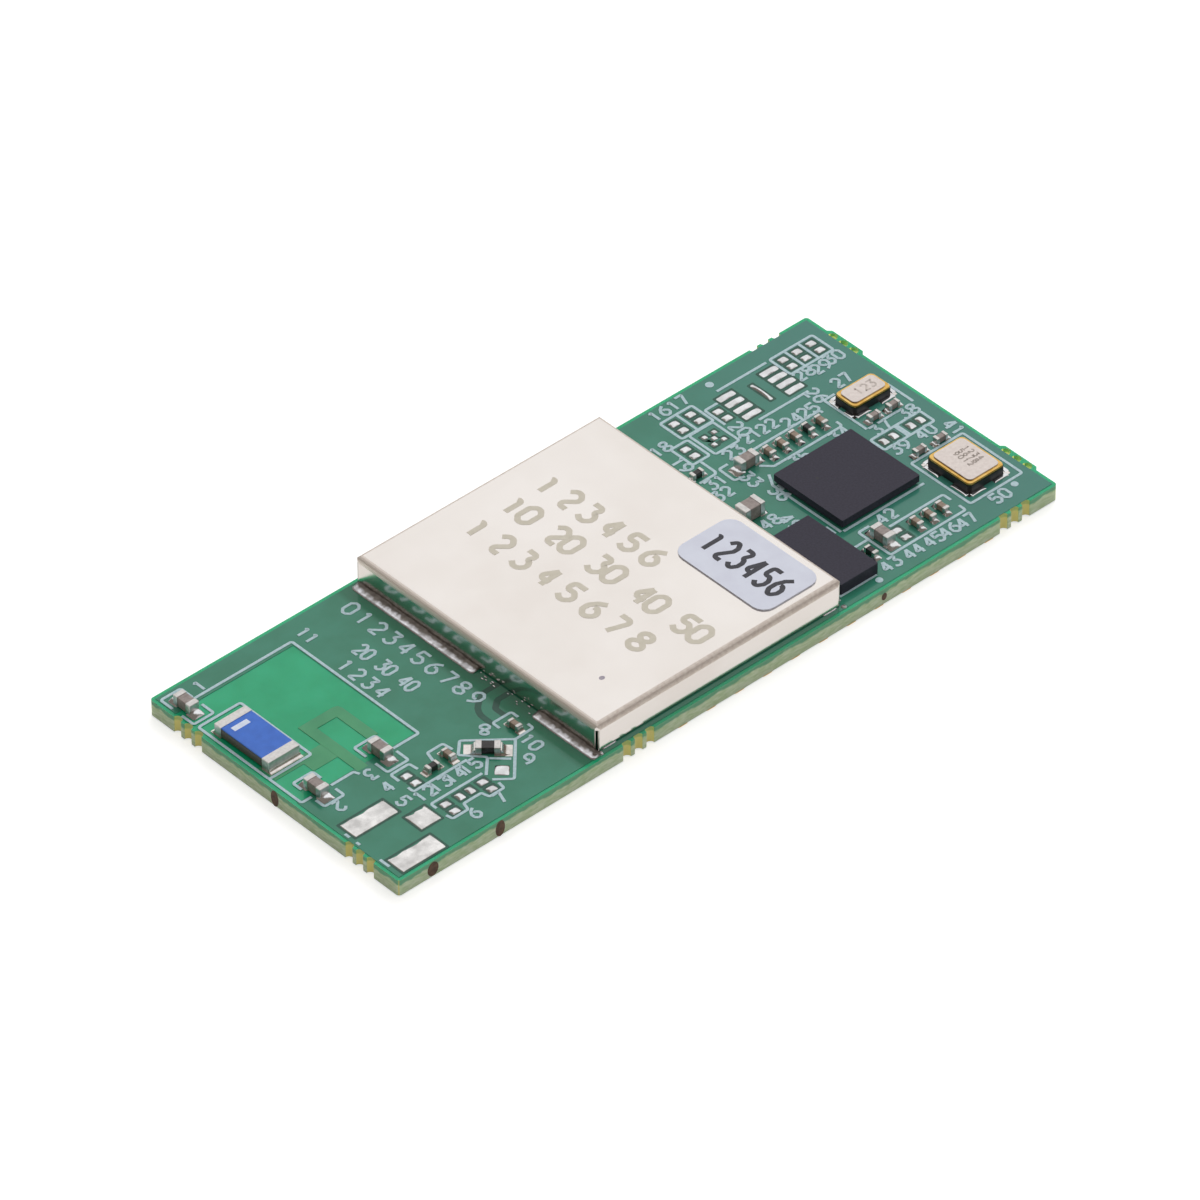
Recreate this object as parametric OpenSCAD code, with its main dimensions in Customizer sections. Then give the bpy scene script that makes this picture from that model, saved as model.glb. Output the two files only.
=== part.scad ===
// Surface-mount wireless network module.
// The origin is the centre of the underside, at the lower face of the solder lands.
// +X runs along the board from the antenna end to the crystal end, and +Z is up.

/* [Board] */
// Length of the board from the antenna end to the shield can
antenna_zone = 10.56; // [10.42:0.02:13]
// Length of the board from the shield can to the crystal end
controller_zone = 11.44; // [11.28:0.02:14]
// Width of the board
board_width = 14.5; // [14.2:0.1:17]
// Thickness of the board
board_thickness = 0.76; // [0.4:0.02:1.6]
// Radius of the board's corners
board_corner = 0.15; // [0.05:0.05:0.4]

/* [Break-off lines] */
// Distance from the antenna end to the middle of the first break line
antenna_break = 12.41; // [12.2:0.05:13]
// Distance from the crystal end to the middle of the last break line
crystal_break = 2.35; // [2:0.05:3]
// Distance from a long edge to the middle of a break line on a short edge
side_break = 2.25; // [2:0.05:3]
// Diameter of the holes drilled along a break line
notch_diameter = 0.42; // [0.3:0.02:0.46]
// Distance between the drilled holes
notch_pitch = 0.61; // [0.58:0.01:0.7]
// Length of a stub left on the crystal end
stub_length = 2.1; // [2:0.1:2.6]
// Reach of a stub beyond the crystal end
stub_reach = 0.16; // [0.1:0.01:0.25]
// Width of the rim outside a stub's holes
stub_rim = 0.04; // [0.03:0.01:0.08]

/* [Underside lands] */
// Height of the lands below the board
land_height = 0.04; // [0.02:0.01:0.1]
// Width of a perimeter land
land_width = 0.5; // [0.4:0.05:0.9]
// Length of a perimeter land, from the edge inwards
land_length = 0.9; // [0.6:0.05:1.2]
// Distance between perimeter lands
land_pitch = 1.5; // [1.3:0.05:1.5]
// Side of a square ground land
ground_land = 1.5; // [1:0.1:2]
// Distance between ground lands
ground_pitch = 2.6; // [2.2:0.1:3]

/* [Shield can] */
// Length of the can along the board
shield_length = 13; // [12.6:0.1:15]
// Width of the can across the board
shield_width = 14; // [13.7:0.05:14.1]
// Distance from the board's centre line to the can's, towards the far edge
shield_offset = 0.145; // [0:0.005:0.15]
// Height of the lid's top above the board
shield_height = 1.35; // [1.25:0.01:2]
// Thickness of the folded sheet
sheet = 0.15; // [0.1:0.01:0.2]
// Outer radius of the folds
fold_radius = 0.3; // [0.22:0.01:0.4]
// Outer radius of the can's upright corners
shield_corner = 0.2; // [0.17:0.01:0.3]
// Width of the slit down each corner
corner_slit = 0.17; // [0.1:0.01:0.25]
// Distance from the top of a slit to the lid
slit_depth = 0.29; // [0.25:0.01:0.5]
// Length of the foot at each end of a wall
foot_length = 1; // [0.8:0.1:3]
// Height of the relief between the feet
foot_relief = 0.03; // [0.02:0.01:0.15]
// Thickness of the solder under the can
shield_bond = 0.04; // [0.02:0.01:0.08]
// Width of solder that shows outside the wall at the antenna side
shield_toe = 0.46; // [0.2:0.01:0.5]
// Height that this solder climbs up the wall
shield_climb = 0.2; // [0.1:0.01:0.3]

/* [Serial label] */
// Distance from the label's middle to the can's crystal side
label_setback = 2.15; // [1.9:0.05:4]
// Distance from the label's middle to the can's near side
label_margin = 3.13; // [3:0.05:5]
// Length of the label across the board
label_length = 5.25; // [4:0.05:6]
// Width of the label along the board
label_width = 3.2; // [2.5:0.05:3.4]
// Thickness of the label
label_thickness = 0.06; // [0.03:0.01:0.12]
// Radius of the label's corners
label_corner = 0.6; // [0.2:0.05:1]

/* [Chip antenna] */
// Length of the antenna across the board
antenna_length = 3.2; // [2.9:0.05:3.4]
// Width of the antenna
antenna_width = 1.6; // [1.4:0.05:1.7]
// Height of the antenna
antenna_height = 0.5; // [0.4:0.02:1]
// Length of its end terminals
antenna_band = 0.4; // [0.3:0.02:0.6]

/* [Chip parts] */
// Length of a large chip part
large_length = 1; // [0.95:0.01:1.05]
// Width of a large chip part
large_width = 0.5; // [0.45:0.01:0.55]
// Height of a large chip part
large_height = 0.5; // [0.3:0.01:0.6]
// Length of a large chip part's terminals
large_band = 0.25; // [0.18:0.01:0.3]
// Length of a small chip part
small_length = 0.6; // [0.57:0.01:0.63]
// Width of a small chip part
small_width = 0.3; // [0.27:0.01:0.33]
// Height of a small chip part
small_height = 0.3; // [0.2:0.01:0.4]
// Length of a small chip part's terminals
small_band = 0.14; // [0.1:0.01:0.2]
// Height of a chip resistor
resistor_height = 0.35; // [0.25:0.01:0.4]
// Thickness of the metal on the terminals
plating = 0.02; // [0.01:0.005:0.03]
// Softening radius of chip edges
chip_edge = 0.04; // [0.03:0.01:0.06]

/* [Pads and joints] */
// Height of a tinned pad
pad_height = 0.03; // [0.02:0.01:0.05]
// Reach of a large chip part's joint beyond its end
large_toe = 0.24; // [0.15:0.01:0.3]
// Reach of a small chip part's joint beyond its end
small_toe = 0.14; // [0.08:0.01:0.16]
// Width of a bare pad
bare_width = 0.42; // [0.35:0.01:0.44]
// Length of a bare pad
bare_length = 0.33; // [0.25:0.01:0.36]
// Distance between the two bare pads of a pair
bare_pitch = 0.53; // [0.5:0.01:0.55]
// Height of the solder domed on a bare pad
bare_dome = 0.07; // [0.04:0.01:0.09]

/* [Buffer capacitor] */
// Length of the buffer capacitor
buffer_length = 1.05; // [0.95:0.01:1.2]
// Width of the buffer capacitor
buffer_width = 0.68; // [0.5:0.01:0.8]
// Height of the buffer capacitor
buffer_height = 0.65; // [0.5:0.01:0.8]

/* [Controller chip] */
// Length of the controller chip
controller_length = 4.22; // [4:0.01:4.4]
// Width of the controller chip
controller_width = 3.97; // [3.7:0.01:4.1]
// Thickness of the controller chip
controller_height = 0.33; // [0.25:0.01:0.5]
// Height that solder balls hold a chip above the board
ball_height = 0.13; // [0.08:0.01:0.18]
// Diameter of a solder ball
ball_diameter = 0.25; // [0.2:0.01:0.3]
// Distance between solder balls
ball_pitch = 0.5; // [0.4:0.05:0.6]

/* [Memory chip] */
// Length of the memory chip across the board
memory_length = 4; // [3.8:0.05:4.1]
// Width of the memory chip
memory_width = 2; // [1.8:0.05:2.1]
// Height of the memory chip
memory_height = 0.52; // [0.4:0.02:0.7]

/* [Crystals] */
// Length of the large crystal across the board
large_crystal_length = 2.5; // [2.3:0.05:2.6]
// Width of the large crystal
large_crystal_width = 2; // [1.9:0.05:2.1]
// Height of the large crystal's ceramic base
large_base_height = 0.34; // [0.25:0.01:0.5]
// Length of the small crystal along the board
small_crystal_length = 2.1; // [1.95:0.05:2.15]
// Width of the small crystal
small_crystal_width = 1.25; // [1.15:0.05:1.3]
// Height of the small crystal's ceramic base
small_base_height = 0.31; // [0.15:0.01:0.35]
// Height of a gold seal ring
ring_height = 0.12; // [0.06:0.01:0.15]
// Ledge of the base outside the seal ring
ring_ledge = 0.02; // [0.01:0.01:0.06]
// Ledge of the seal ring outside the lid
lid_ledge = 0.08; // [0.05:0.01:0.12]
// Thickness of a crystal's lid
lid_height = 0.06; // [0.04:0.01:0.1]
// Radius of a crystal's lid corners
lid_corner = 0.16; // [0.1:0.01:0.25]
// Radius of the grooves down a ceramic base's corners
groove_radius = 0.13; // [0.08:0.01:0.16]

/* [Under the can] */
// Length of the radio chip
radio_length = 4.9; // [4.5:0.05:5.2]
// Width of the radio chip
radio_width = 4.6; // [4.2:0.05:4.9]
// Thickness of the radio chip
radio_height = 0.4; // [0.3:0.01:0.6]
// Side of the square front end module
front_end_size = 3; // [2.5:0.05:3.2]
// Height of the front end module
front_end_height = 0.55; // [0.4:0.01:0.8]
// Length of the power inductor
inductor_length = 2; // [1.8:0.05:2.2]
// Width of the power inductor
inductor_width = 1.25; // [1.1:0.05:1.4]
// Height of the power inductor
inductor_height = 0.9; // [0.6:0.02:0.95]

/* [Hidden] */
$fn = 48;

board_length = antenna_zone + shield_length + controller_zone;
board_top = land_height + board_thickness;
shield_left = antenna_zone - board_length / 2;
shield_right = shield_left + shield_length;
zone_middle = shield_right + controller_zone / 2;
shield_seat = board_top + shield_bond;
// Gap in the solder strip where the antenna trace passes under the can, from one Y to another.
trace_gap = [-3.55, -0.15];
// Radius of the solder drops at the can's near corners.
corner_drop = 0.13;
// Reach of the corner pads outside a crystal.
crystal_toe = 0.14;
lid_top = board_top + shield_height;

// Places are given as a distance from the feature that they line up with.
function left(d) = d - board_length / 2;
function right(d) = board_length / 2 - d;
function near(d) = d - board_width / 2;
function far(d) = board_width / 2 - d;
function before_can(d) = shield_left - d;
function past_can(d) = shield_right + d;
function mid(d) = zone_middle + d;
function in_can(d) = (shield_left + shield_right) / 2 + d;
function can_near(d) = shield_offset - shield_width / 2 + d;

// Each place is [x, y, turn]. A turn of 90 lays the part's length across the board.
antenna_place = [left(1.3), 2.4, 90];
antenna_capacitor_places = [
    [left(0.7), far(1.37), 90], [left(1.15), -1.23, 90], [left(4.39), -1.27, 90]
];
matching_capacitor_places = [[left(6.18), -3.2, 90], [before_can(1.33), -3.64, 90]];
matching_inductor_places = [[left(5.23), -3.32, 0]];
path_resistor_place = [before_can(2.99), -3.93, -43];
matching_pad_pairs = [
    [left(4.27), -3.18, 90], [left(4.27), -5.42, 90], [left(5.25), -5.19, 0], [left(6.18), -5.42, 90]
];
controller_place = [mid(-0.4), -1.54, 0];
memory_place = [past_can(1.39), near(2.84), 90];
large_crystal_place = [right(2.03), near(3.15), 90];
small_crystal_place = [right(1.93), 1.92, 0];
load_capacitor_places = [
    [right(2.55), 0.65, 0], [right(1.5), 0.65, 0], [right(2.7), near(5.1), 0], [right(1.55), near(5.1), 0]
];
supply_capacitor_places = [[mid(-2.56), 1.96, 0], [mid(-1.76), near(2.21), 90]];
buffer_capacitor_place = [past_can(1.12), -0.42, 0];
bypass_capacitor_places = concat(
    [for (k = [0, 1, 2, 4]) [mid(-1.43 + 0.71 * k), 1.85, 90]],
    [for (k = [0 : 2]) [mid(-0.18 + 0.7 * k), near(1.94), 90]]
);
option_resistor_places = [
    [mid(0.7), 1.85, 90], [past_can(2.99), near(1.85), 90], [past_can(1.2), 2.76, 0]
];
option_pad_pairs = concat(
    [[past_can(2.06), far(3.18), 90], [past_can(2.82), far(1.69), 90], [past_can(3.71), far(1.69), 90]],
    [[mid(-1.08), far(2.31), 90], [mid(-0.96), near(1.97), 90]],
    [for (k = [0 : 2]) [mid(3.1 + 0.77 * k), far(1.66), 90]],
    [[right(2.95), -0.65, 0], [right(1.47), -0.65, 0]]
);
radio_place = [in_can(-1.2), 0.6, 0];
front_end_place = [in_can(-3.6), -4.2, 0];
radio_crystal_place = [in_can(3.9), 4.2, 0];
inductor_place = [in_can(4.3), -4, 90];
radio_capacitor_places = concat(
    [for (k = [0 : 4]) [in_can(-4.6 + 1.5 * k), 4.6, 90]],
    [for (k = [0 : 4]) [in_can(3.2), -2.2 + 1.1 * k, 0]],
    [for (k = [0 : 2]) [in_can(-0.6 + 1.4 * k), -4.4, 90]]
);

// Outline of a rectangle with round corners.
function round_outline(l, w, r, n = 4) = [
    for (corner = [0 : 3], k = [0 : n])
        let (
            turn = 90 * corner + 90 * k / n,
            x = (corner == 0 || corner == 3 ? 1 : -1) * (l / 2 - r),
            y = (corner < 2 ? 1 : -1) * (w / 2 - r)
        )
        [x + r * cos(turn), y + r * sin(turn)]
];

// Points of an arc from one angle to another.
function arc(centre, r, from, to, n = 6) = [
    for (k = [0 : n]) let (turn = from + (to - from) * k / n) centre + r * [cos(turn), sin(turn)]
];

// Centre of a circle of radius r through p and q, on the outer side of a concave fillet.
function fillet_centre(p, q, r) =
    let (chord = q - p, d = norm(chord))
    (p + q) / 2 + [-chord[1], chord[0]] / d * sqrt(r * r - d * d / 4);

// Stands its children on the board at every place in the list.
module on_board(places) {
    for (p = places) translate([p[0], p[1], board_top]) rotate(p[2]) children();
}

module slab(l, w, h, r) {
    linear_extrude(h) polygon(round_outline(l, w, r));
}

// Block with all its edges softened.
module soft_block(l, w, h, r) {
    intersection() {
        slab(l, w, h, r);
        translate([0, w / 2, h / 2]) rotate([90, 0, 0]) linear_extrude(w) polygon(round_outline(l, h, r, 2));
        translate([-l / 2, 0, h / 2]) rotate([90, 0, 90])
            linear_extrude(l) polygon(round_outline(w, h, r, 2));
    }
}

// Body of a chip part, inside the metal of its terminals.
module chip_body(l, w, h) {
    translate([0, 0, pad_height + plating])
        soft_block(l - 2 * plating, w - 2 * plating, h - 2 * plating, chip_edge - plating / 2);
}

// The two metal caps that wrap round a chip part's ends.
module chip_terminals(l, w, h, band) {
    for (end = [0, 180]) rotate(end) difference() {
        intersection() {
            translate([0, 0, pad_height]) soft_block(l, w, h, chip_edge);
            translate([l / 2 - band, -w, 0]) cube([band * 2, w * 2, h * 2]);
        }
        chip_body(l, w, h);
    }
}

// A chip part's two tinned pads, with solder that climbs its ends.
module chip_joints(l, w, h, band, toe) {
    climb = pad_height + min(h * 0.62, toe * 1.8);
    high = [toe * 0.12, climb];
    low = [toe, pad_height * 1.3];
    r = norm(high - low) * 0.9;
    for (end = [0, 180]) rotate(end) {
        translate([l / 2 - band, -w / 2 - toe / 4, 0]) cube([band + toe * 1.25, w + toe / 2, pad_height]);
        translate([l / 2, w / 2, 0]) rotate([90, 0, 0]) linear_extrude(w) difference() {
            square([toe, climb]);
            translate(fillet_centre(high, low, r)) circle(r);
        }
    }
}

module large_body(h = large_height) { chip_body(large_length, large_width, h); }
module large_terminals(h = large_height) { chip_terminals(large_length, large_width, h, large_band); }
module large_joints(h = large_height, toe = large_toe) {
    chip_joints(large_length, large_width, h, large_band, toe);
}
module small_body() { chip_body(small_length, small_width, small_height); }
module small_terminals() { chip_terminals(small_length, small_width, small_height, small_band); }
module small_joints() { chip_joints(small_length, small_width, small_height, small_band, small_toe); }

// Bare pad with solder domed on it.
module bare_pad(l, w) {
    intersection() {
        slab(l, w, bare_dome, 0.06);
        translate([0, 0, -bare_dome]) soft_block(l, w, 2 * bare_dome, bare_dome);
    }
}

module pad_pair() {
    for (side = [-1, 1]) translate([side * bare_pitch / 2, 0, 0]) bare_pad(bare_length, bare_width);
}

// Solder balls in a grid under a chip of size l by w.
module ball_grid(l, w) {
    columns = floor((l - 0.6) / ball_pitch);
    rows = floor((w - 0.6) / ball_pitch);
    for (i = [0 : columns], j = [0 : rows])
        translate([(i - columns / 2) * ball_pitch, (j - rows / 2) * ball_pitch, ball_height / 2])
            intersection() {
                sphere(d = ball_diameter);
                cube([ball_diameter * 2, ball_diameter * 2, ball_height], center = true);
            }
}

// Ceramic base of a crystal, with a groove down each corner.
module crystal_base(l, w, h) {
    translate([0, 0, pad_height]) difference() {
        translate([-l / 2, -w / 2, 0]) cube([l, w, h]);
        for (x = [-1, 1], y = [-1, 1])
            translate([x * l / 2, y * w / 2, -1]) cylinder(h = h + 2, r = groove_radius);
    }
}

module crystal_ring(l, w, h) {
    translate([0, 0, pad_height + h])
        slab(l - 2 * ring_ledge, w - 2 * ring_ledge, ring_height, lid_corner + lid_ledge);
}

// Metal lid with its upper edges rolled.
module crystal_lid(l, w, h) {
    inset = 2 * (ring_ledge + lid_ledge);
    translate([0, 0, pad_height + h + ring_height]) intersection() {
        slab(l - inset, w - inset, lid_height, lid_corner);
        translate([0, 0, -lid_height]) soft_block(l - inset, w - inset, 2 * lid_height, lid_height * 0.6);
    }
}

// Corner pads under a crystal, reaching a little outside it.
module crystal_joints(l, w) {
    for (x = [-1, 1], y = [-1, 1])
        translate([x * (l * 0.32 + crystal_toe / 2), y * (w * 0.31 + crystal_toe / 2), 0])
            slab(l * 0.36 + crystal_toe, w * 0.38 + crystal_toe, pad_height, 0.05);
}

// A row of pads along both long sides of a leadless chip.
module leadless_pads(l, w, count, pitch, depth = 0.4) {
    for (side = [-1, 1], k = [0 : count - 1])
        translate([(k - (count - 1) / 2) * pitch, side * (w - depth) / 2, 0])
            slab(pitch * 0.55, depth, pad_height, 0.04);
}

module circuit_board() {
    color("seagreen") translate([0, 0, land_height]) linear_extrude(board_thickness) difference() {
        union() {
            polygon(round_outline(board_length, board_width, board_corner));
            at_end(1) polygon([
                [-stub_length / 2, -board_corner], [stub_length / 2, -board_corner], [stub_length / 2, 0],
                [stub_length / 2 - stub_reach, stub_reach], [stub_reach - stub_length / 2, stub_reach],
                [-stub_length / 2, 0]
            ]);
        }
        at_long_edges() break_line(0);
        at_end(-1) break_line(0);
        at_end(1) break_line(stub_reach - stub_rim - notch_diameter / 2);
    }
}

// Three drilled holes along an edge, their centres a distance outside it.
module break_line(reach) {
    for (k = [-1 : 1]) translate([k * notch_pitch, reach]) circle(d = notch_diameter);
}

// Puts its children on the long edges at every break line, with +Y pointing outwards.
module at_long_edges() {
    for (side = [-1, 1], x = [left(antenna_break), right(crystal_break)])
        translate([x, side * board_width / 2]) rotate(90 - 90 * side) children();
}

// Puts its children on a short edge, +1 being the crystal end, with +Y pointing outwards.
module at_end(side) {
    for (y = [near(side_break), far(side_break)])
        translate([side * board_length / 2, y]) rotate(-90 * side) children();
}

module perimeter_lands() {
    color("goldenrod") {
        for (k = [0 : 11], side = [-1, 1])
            translate([right(3.75) - k * land_pitch, side * (board_width - land_length) / 2, 0])
                slab(land_width, land_length, land_height, 0.05);
        for (k = [0 : 7])
            translate([right(land_length / 2), (k - 3.5) * land_pitch, 0])
                slab(land_length, land_width, land_height, 0.05);
    }
}

module ground_lands() {
    color("goldenrod") for (i = [0 : 3], j = [0 : 2])
        translate([right(12) + (i - 1.5) * ground_pitch, (j - 1) * ground_pitch, 0])
            slab(ground_land, ground_land, land_height, 0.1);
}

// Side view of a block with its two top edges folded round.
function folded_outline(l, h, r) = concat(
    [[-l / 2, 0], [l / 2, 0]], arc([l / 2 - r, h - r], r, 0, 90), arc([r - l / 2, h - r], r, 90, 180)
);

// Block of size l by w, folded round along its four top edges.
module folded_block(l, w, h, r, corner) {
    intersection() {
        slab(l, w, h, corner);
        translate([0, w / 2, 0]) rotate([90, 0, 0]) linear_extrude(w) polygon(folded_outline(l, h, r));
        translate([-l / 2, 0, 0]) rotate([90, 0, 90]) linear_extrude(l) polygon(folded_outline(w, h, r));
    }
}

module shield_can() {
    h = lid_top - shield_seat;
    inner_length = shield_length - 2 * sheet;
    inner_width = shield_width - 2 * sheet;
    color("gainsboro") translate([in_can(0), shield_offset, shield_seat]) difference() {
        folded_block(shield_length, shield_width, h, fold_radius, shield_corner);
        translate([0, 0, -sheet])
            folded_block(inner_length, inner_width, h, fold_radius - sheet, shield_corner - sheet);
        for (x = [-1, 1], y = [-1, 1])
            translate([x * shield_length / 2, y * shield_width / 2, 0]) rotate(45 * x * y)
                translate([-shield_corner * 2, -corner_slit / 2, -1])
                    cube([shield_corner * 4, corner_slit, 1 + h - slit_depth]);
        translate([foot_length - shield_length / 2, -shield_width, -1])
            cube([shield_length - 2 * foot_length, 2 * shield_width, 1 + foot_relief]);
        translate([-shield_length, foot_length - shield_width / 2, -1])
            cube([2 * shield_length, shield_width - 2 * foot_length, 1 + foot_relief]);
    }
}

// Strip of solder under a wall, with a fillet that climbs the wall's outer face.
module solder_strip(length, toe, climb) {
    high = [toe * 0.1, climb];
    low = [toe, shield_bond * 1.2];
    r = norm(high - low) * 0.9;
    translate([0, -sheet, 0]) cube([length, sheet + toe, shield_bond]);
    rotate([90, 0, 90]) linear_extrude(length) difference() {
        square([toe, climb]);
        translate(fillet_centre(high, low, r)) circle(r);
    }
}

module shield_solder() {
    run = foot_length - fold_radius;
    color("silver") translate([0, 0, board_top]) {
        translate([shield_left, trace_gap[1], 0]) rotate(90)
            solder_strip(can_near(shield_width) - shield_corner - trace_gap[1], shield_toe, shield_climb);
        translate([shield_left, can_near(-corner_drop), 0]) rotate(90)
            solder_strip(trace_gap[0] - can_near(-corner_drop), shield_toe, shield_climb);
        translate([shield_right, can_near(shield_width - shield_corner), 0]) rotate(-90)
            solder_strip(shield_width - 2 * shield_corner, shield_toe / 2, shield_climb);
        for (side = [0, 180], x = [-1, 1])
            translate([in_can(0), shield_offset, 0]) rotate(side)
                translate([x * (shield_length / 2 - fold_radius - run / 2) - run / 2, shield_width / 2, 0])
                    solder_strip(run, shield_bond, shield_bond * 1.5);
        for (x = [shield_left, shield_right])
            translate([x, can_near(-corner_drop), 0]) intersection() {
                sphere(corner_drop);
                translate([-1, -1, 0]) cube([2, 2, 1]);
            }
    }
}

module serial_label() {
    color("lavender") translate([shield_right - label_setback, can_near(label_margin), lid_top])
        slab(label_width, label_length, label_thickness, label_corner);
}

module antenna_body() {
    color("royalblue") on_board([antenna_place]) chip_body(antenna_length, antenna_width, antenna_height);
}
module antenna_terminals() {
    color("silver") on_board([antenna_place])
        chip_terminals(antenna_length, antenna_width, antenna_height, antenna_band);
}
module antenna_joints() {
    color("silver") on_board([antenna_place])
        chip_joints(antenna_length, antenna_width, antenna_height * 0.4, antenna_band, small_toe);
}

module antenna_capacitors() { color("rosybrown") on_board(antenna_capacitor_places) large_body(); }
module antenna_capacitor_terminals() { color("silver") on_board(antenna_capacitor_places) large_terminals(); }
module antenna_capacitor_joints() { color("silver") on_board(antenna_capacitor_places) large_joints(); }

module matching_capacitors() { color("tan") on_board(matching_capacitor_places) small_body(); }
module matching_inductor() { color("dimgray") on_board(matching_inductor_places) small_body(); }
module matching_terminals() {
    color("silver") on_board(concat(matching_capacitor_places, matching_inductor_places)) small_terminals();
}
module matching_joints() {
    color("silver") on_board(concat(matching_capacitor_places, matching_inductor_places)) small_joints();
}

module path_resistor() { color("black") on_board([path_resistor_place]) large_body(resistor_height); }
module path_resistor_terminals() {
    color("silver") on_board([path_resistor_place]) large_terminals(resistor_height);
}
module path_resistor_joints() {
    color("silver") on_board([path_resistor_place]) large_joints(resistor_height, large_toe * 1.5);
}

module connector_pads() {
    color("silver") {
        on_board([[left(1.57), near(3.46), 0], [left(1.57), near(0.73), 0]]) bare_pad(2.23, 0.96);
        on_board([[left(3.12), near(2.1), 0]]) bare_pad(1.04, 1);
    }
}
module matching_pads() {
    color("silver") {
        on_board(matching_pad_pairs) pad_pair();
        on_board([[before_can(3.36), -5.15, 45]]) bare_pad(0.5, 0.5);
    }
}

module controller_chip() {
    color("dimgray") on_board([controller_place]) translate([0, 0, ball_height])
        slab(controller_length, controller_width, controller_height, 0.03);
}
module controller_balls() {
    color("silver") on_board([controller_place]) ball_grid(controller_length, controller_width);
}

module memory_chip() {
    color("dimgray") on_board([memory_place]) translate([0, 0, pad_height])
        slab(memory_length, memory_width, memory_height, 0.03);
}
module memory_joints() {
    color("silver") on_board([memory_place]) leadless_pads(memory_length, memory_width, 4, 0.8);
}

module large_crystal_base() {
    color("black") on_board([large_crystal_place])
        crystal_base(large_crystal_length, large_crystal_width, large_base_height);
}
module large_crystal_ring() {
    color("gold") on_board([large_crystal_place])
        crystal_ring(large_crystal_length, large_crystal_width, large_base_height);
}
module large_crystal_lid() {
    color("gainsboro") on_board([large_crystal_place])
        crystal_lid(large_crystal_length, large_crystal_width, large_base_height);
}
module large_crystal_joints() {
    color("silver") on_board([large_crystal_place]) crystal_joints(large_crystal_length, large_crystal_width);
}

module small_crystal_base() {
    color("black") on_board([small_crystal_place])
        crystal_base(small_crystal_length, small_crystal_width, small_base_height);
}
module small_crystal_ring() {
    color("gold") on_board([small_crystal_place])
        crystal_ring(small_crystal_length, small_crystal_width, small_base_height);
}
module small_crystal_lid() {
    color("gainsboro") on_board([small_crystal_place])
        crystal_lid(small_crystal_length, small_crystal_width, small_base_height);
}
module small_crystal_joints() {
    color("silver") on_board([small_crystal_place]) crystal_joints(small_crystal_length, small_crystal_width);
}

module load_capacitors() { color("gray") on_board(load_capacitor_places) small_body(); }
module load_capacitor_terminals() { color("silver") on_board(load_capacitor_places) small_terminals(); }
module load_capacitor_joints() { color("silver") on_board(load_capacitor_places) small_joints(); }

module supply_capacitors() {
    color("gray") {
        on_board(supply_capacitor_places) large_body();
        on_board([buffer_capacitor_place]) chip_body(buffer_length, buffer_width, buffer_height);
    }
}
module supply_capacitor_terminals() {
    color("silver") {
        on_board(supply_capacitor_places) large_terminals();
        on_board([buffer_capacitor_place])
            chip_terminals(buffer_length, buffer_width, buffer_height, large_band);
    }
}
module supply_capacitor_joints() {
    color("silver") {
        on_board(supply_capacitor_places) large_joints();
        on_board([buffer_capacitor_place])
            chip_joints(buffer_length, buffer_width, buffer_height, large_band, small_toe);
    }
}

module bypass_capacitors() { color("tan") on_board(bypass_capacitor_places) small_body(); }
module bypass_capacitor_terminals() { color("silver") on_board(bypass_capacitor_places) small_terminals(); }
module bypass_capacitor_joints() { color("silver") on_board(bypass_capacitor_places) small_joints(); }

module option_resistors() { color("black") on_board(option_resistor_places) small_body(); }
module option_resistor_terminals() { color("silver") on_board(option_resistor_places) small_terminals(); }
module option_resistor_joints() { color("silver") on_board(option_resistor_places) small_joints(); }

module option_pads() { color("silver") on_board(option_pad_pairs) pad_pair(); }
module sensor_pads() {
    color("silver") on_board([[past_can(3.38), far(3.17), 0]]) {
        bare_pad(0.24, 0.24);
        for (x = [-1, 1], y = [-1, 1]) translate([x * 0.26, y * 0.29, 0]) bare_pad(0.24, 0.22);
    }
}
module expansion_pads() {
    color("silver") {
        on_board([for (k = [0 : 3], x = [-0.18, 2.18]) [mid(x), far(1.55 + 0.5 * k), 0]]) bare_pad(0.9, 0.33);
        on_board([[mid(1.05), far(2.32), 90]]) bare_pad(1.25, 0.18);
    }
}

module radio_chip() {
    color("dimgray") on_board([radio_place]) translate([0, 0, ball_height])
        slab(radio_length, radio_width, radio_height, 0.03);
}
module radio_balls() { color("silver") on_board([radio_place]) ball_grid(radio_length, radio_width); }

module front_end_module() {
    color("dimgray") on_board([front_end_place]) translate([0, 0, pad_height])
        slab(front_end_size, front_end_size, front_end_height, 0.03);
}
module radio_pads() {
    color("silver") {
        on_board([front_end_place]) {
            leadless_pads(front_end_size, front_end_size, 4, 0.5);
            slab(front_end_size * 0.5, front_end_size * 0.5, pad_height, 0.05);
        }
        on_board([radio_crystal_place]) crystal_joints(large_crystal_length, large_crystal_width);
    }
}

module radio_crystal_base() {
    color("black") on_board([radio_crystal_place])
        crystal_base(large_crystal_length, large_crystal_width, large_base_height);
}
module radio_crystal_lid() {
    color("gainsboro") on_board([radio_crystal_place]) translate([0, 0, -ring_height])
        crystal_lid(large_crystal_length, large_crystal_width, large_base_height);
}

module radio_capacitors() { color("tan") on_board(radio_capacitor_places) large_body(); }
module radio_capacitor_terminals() { color("silver") on_board(radio_capacitor_places) large_terminals(); }
module radio_capacitor_joints() { color("silver") on_board(radio_capacitor_places) large_joints(); }

module power_inductor() {
    color("dimgray") on_board([inductor_place]) translate([0, 0, pad_height])
        soft_block(inductor_length, inductor_width, inductor_height, 0.12);
}
module power_inductor_joints() {
    color("silver") on_board([inductor_place])
        chip_joints(inductor_length, inductor_width, inductor_height, large_band, large_toe);
}

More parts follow.
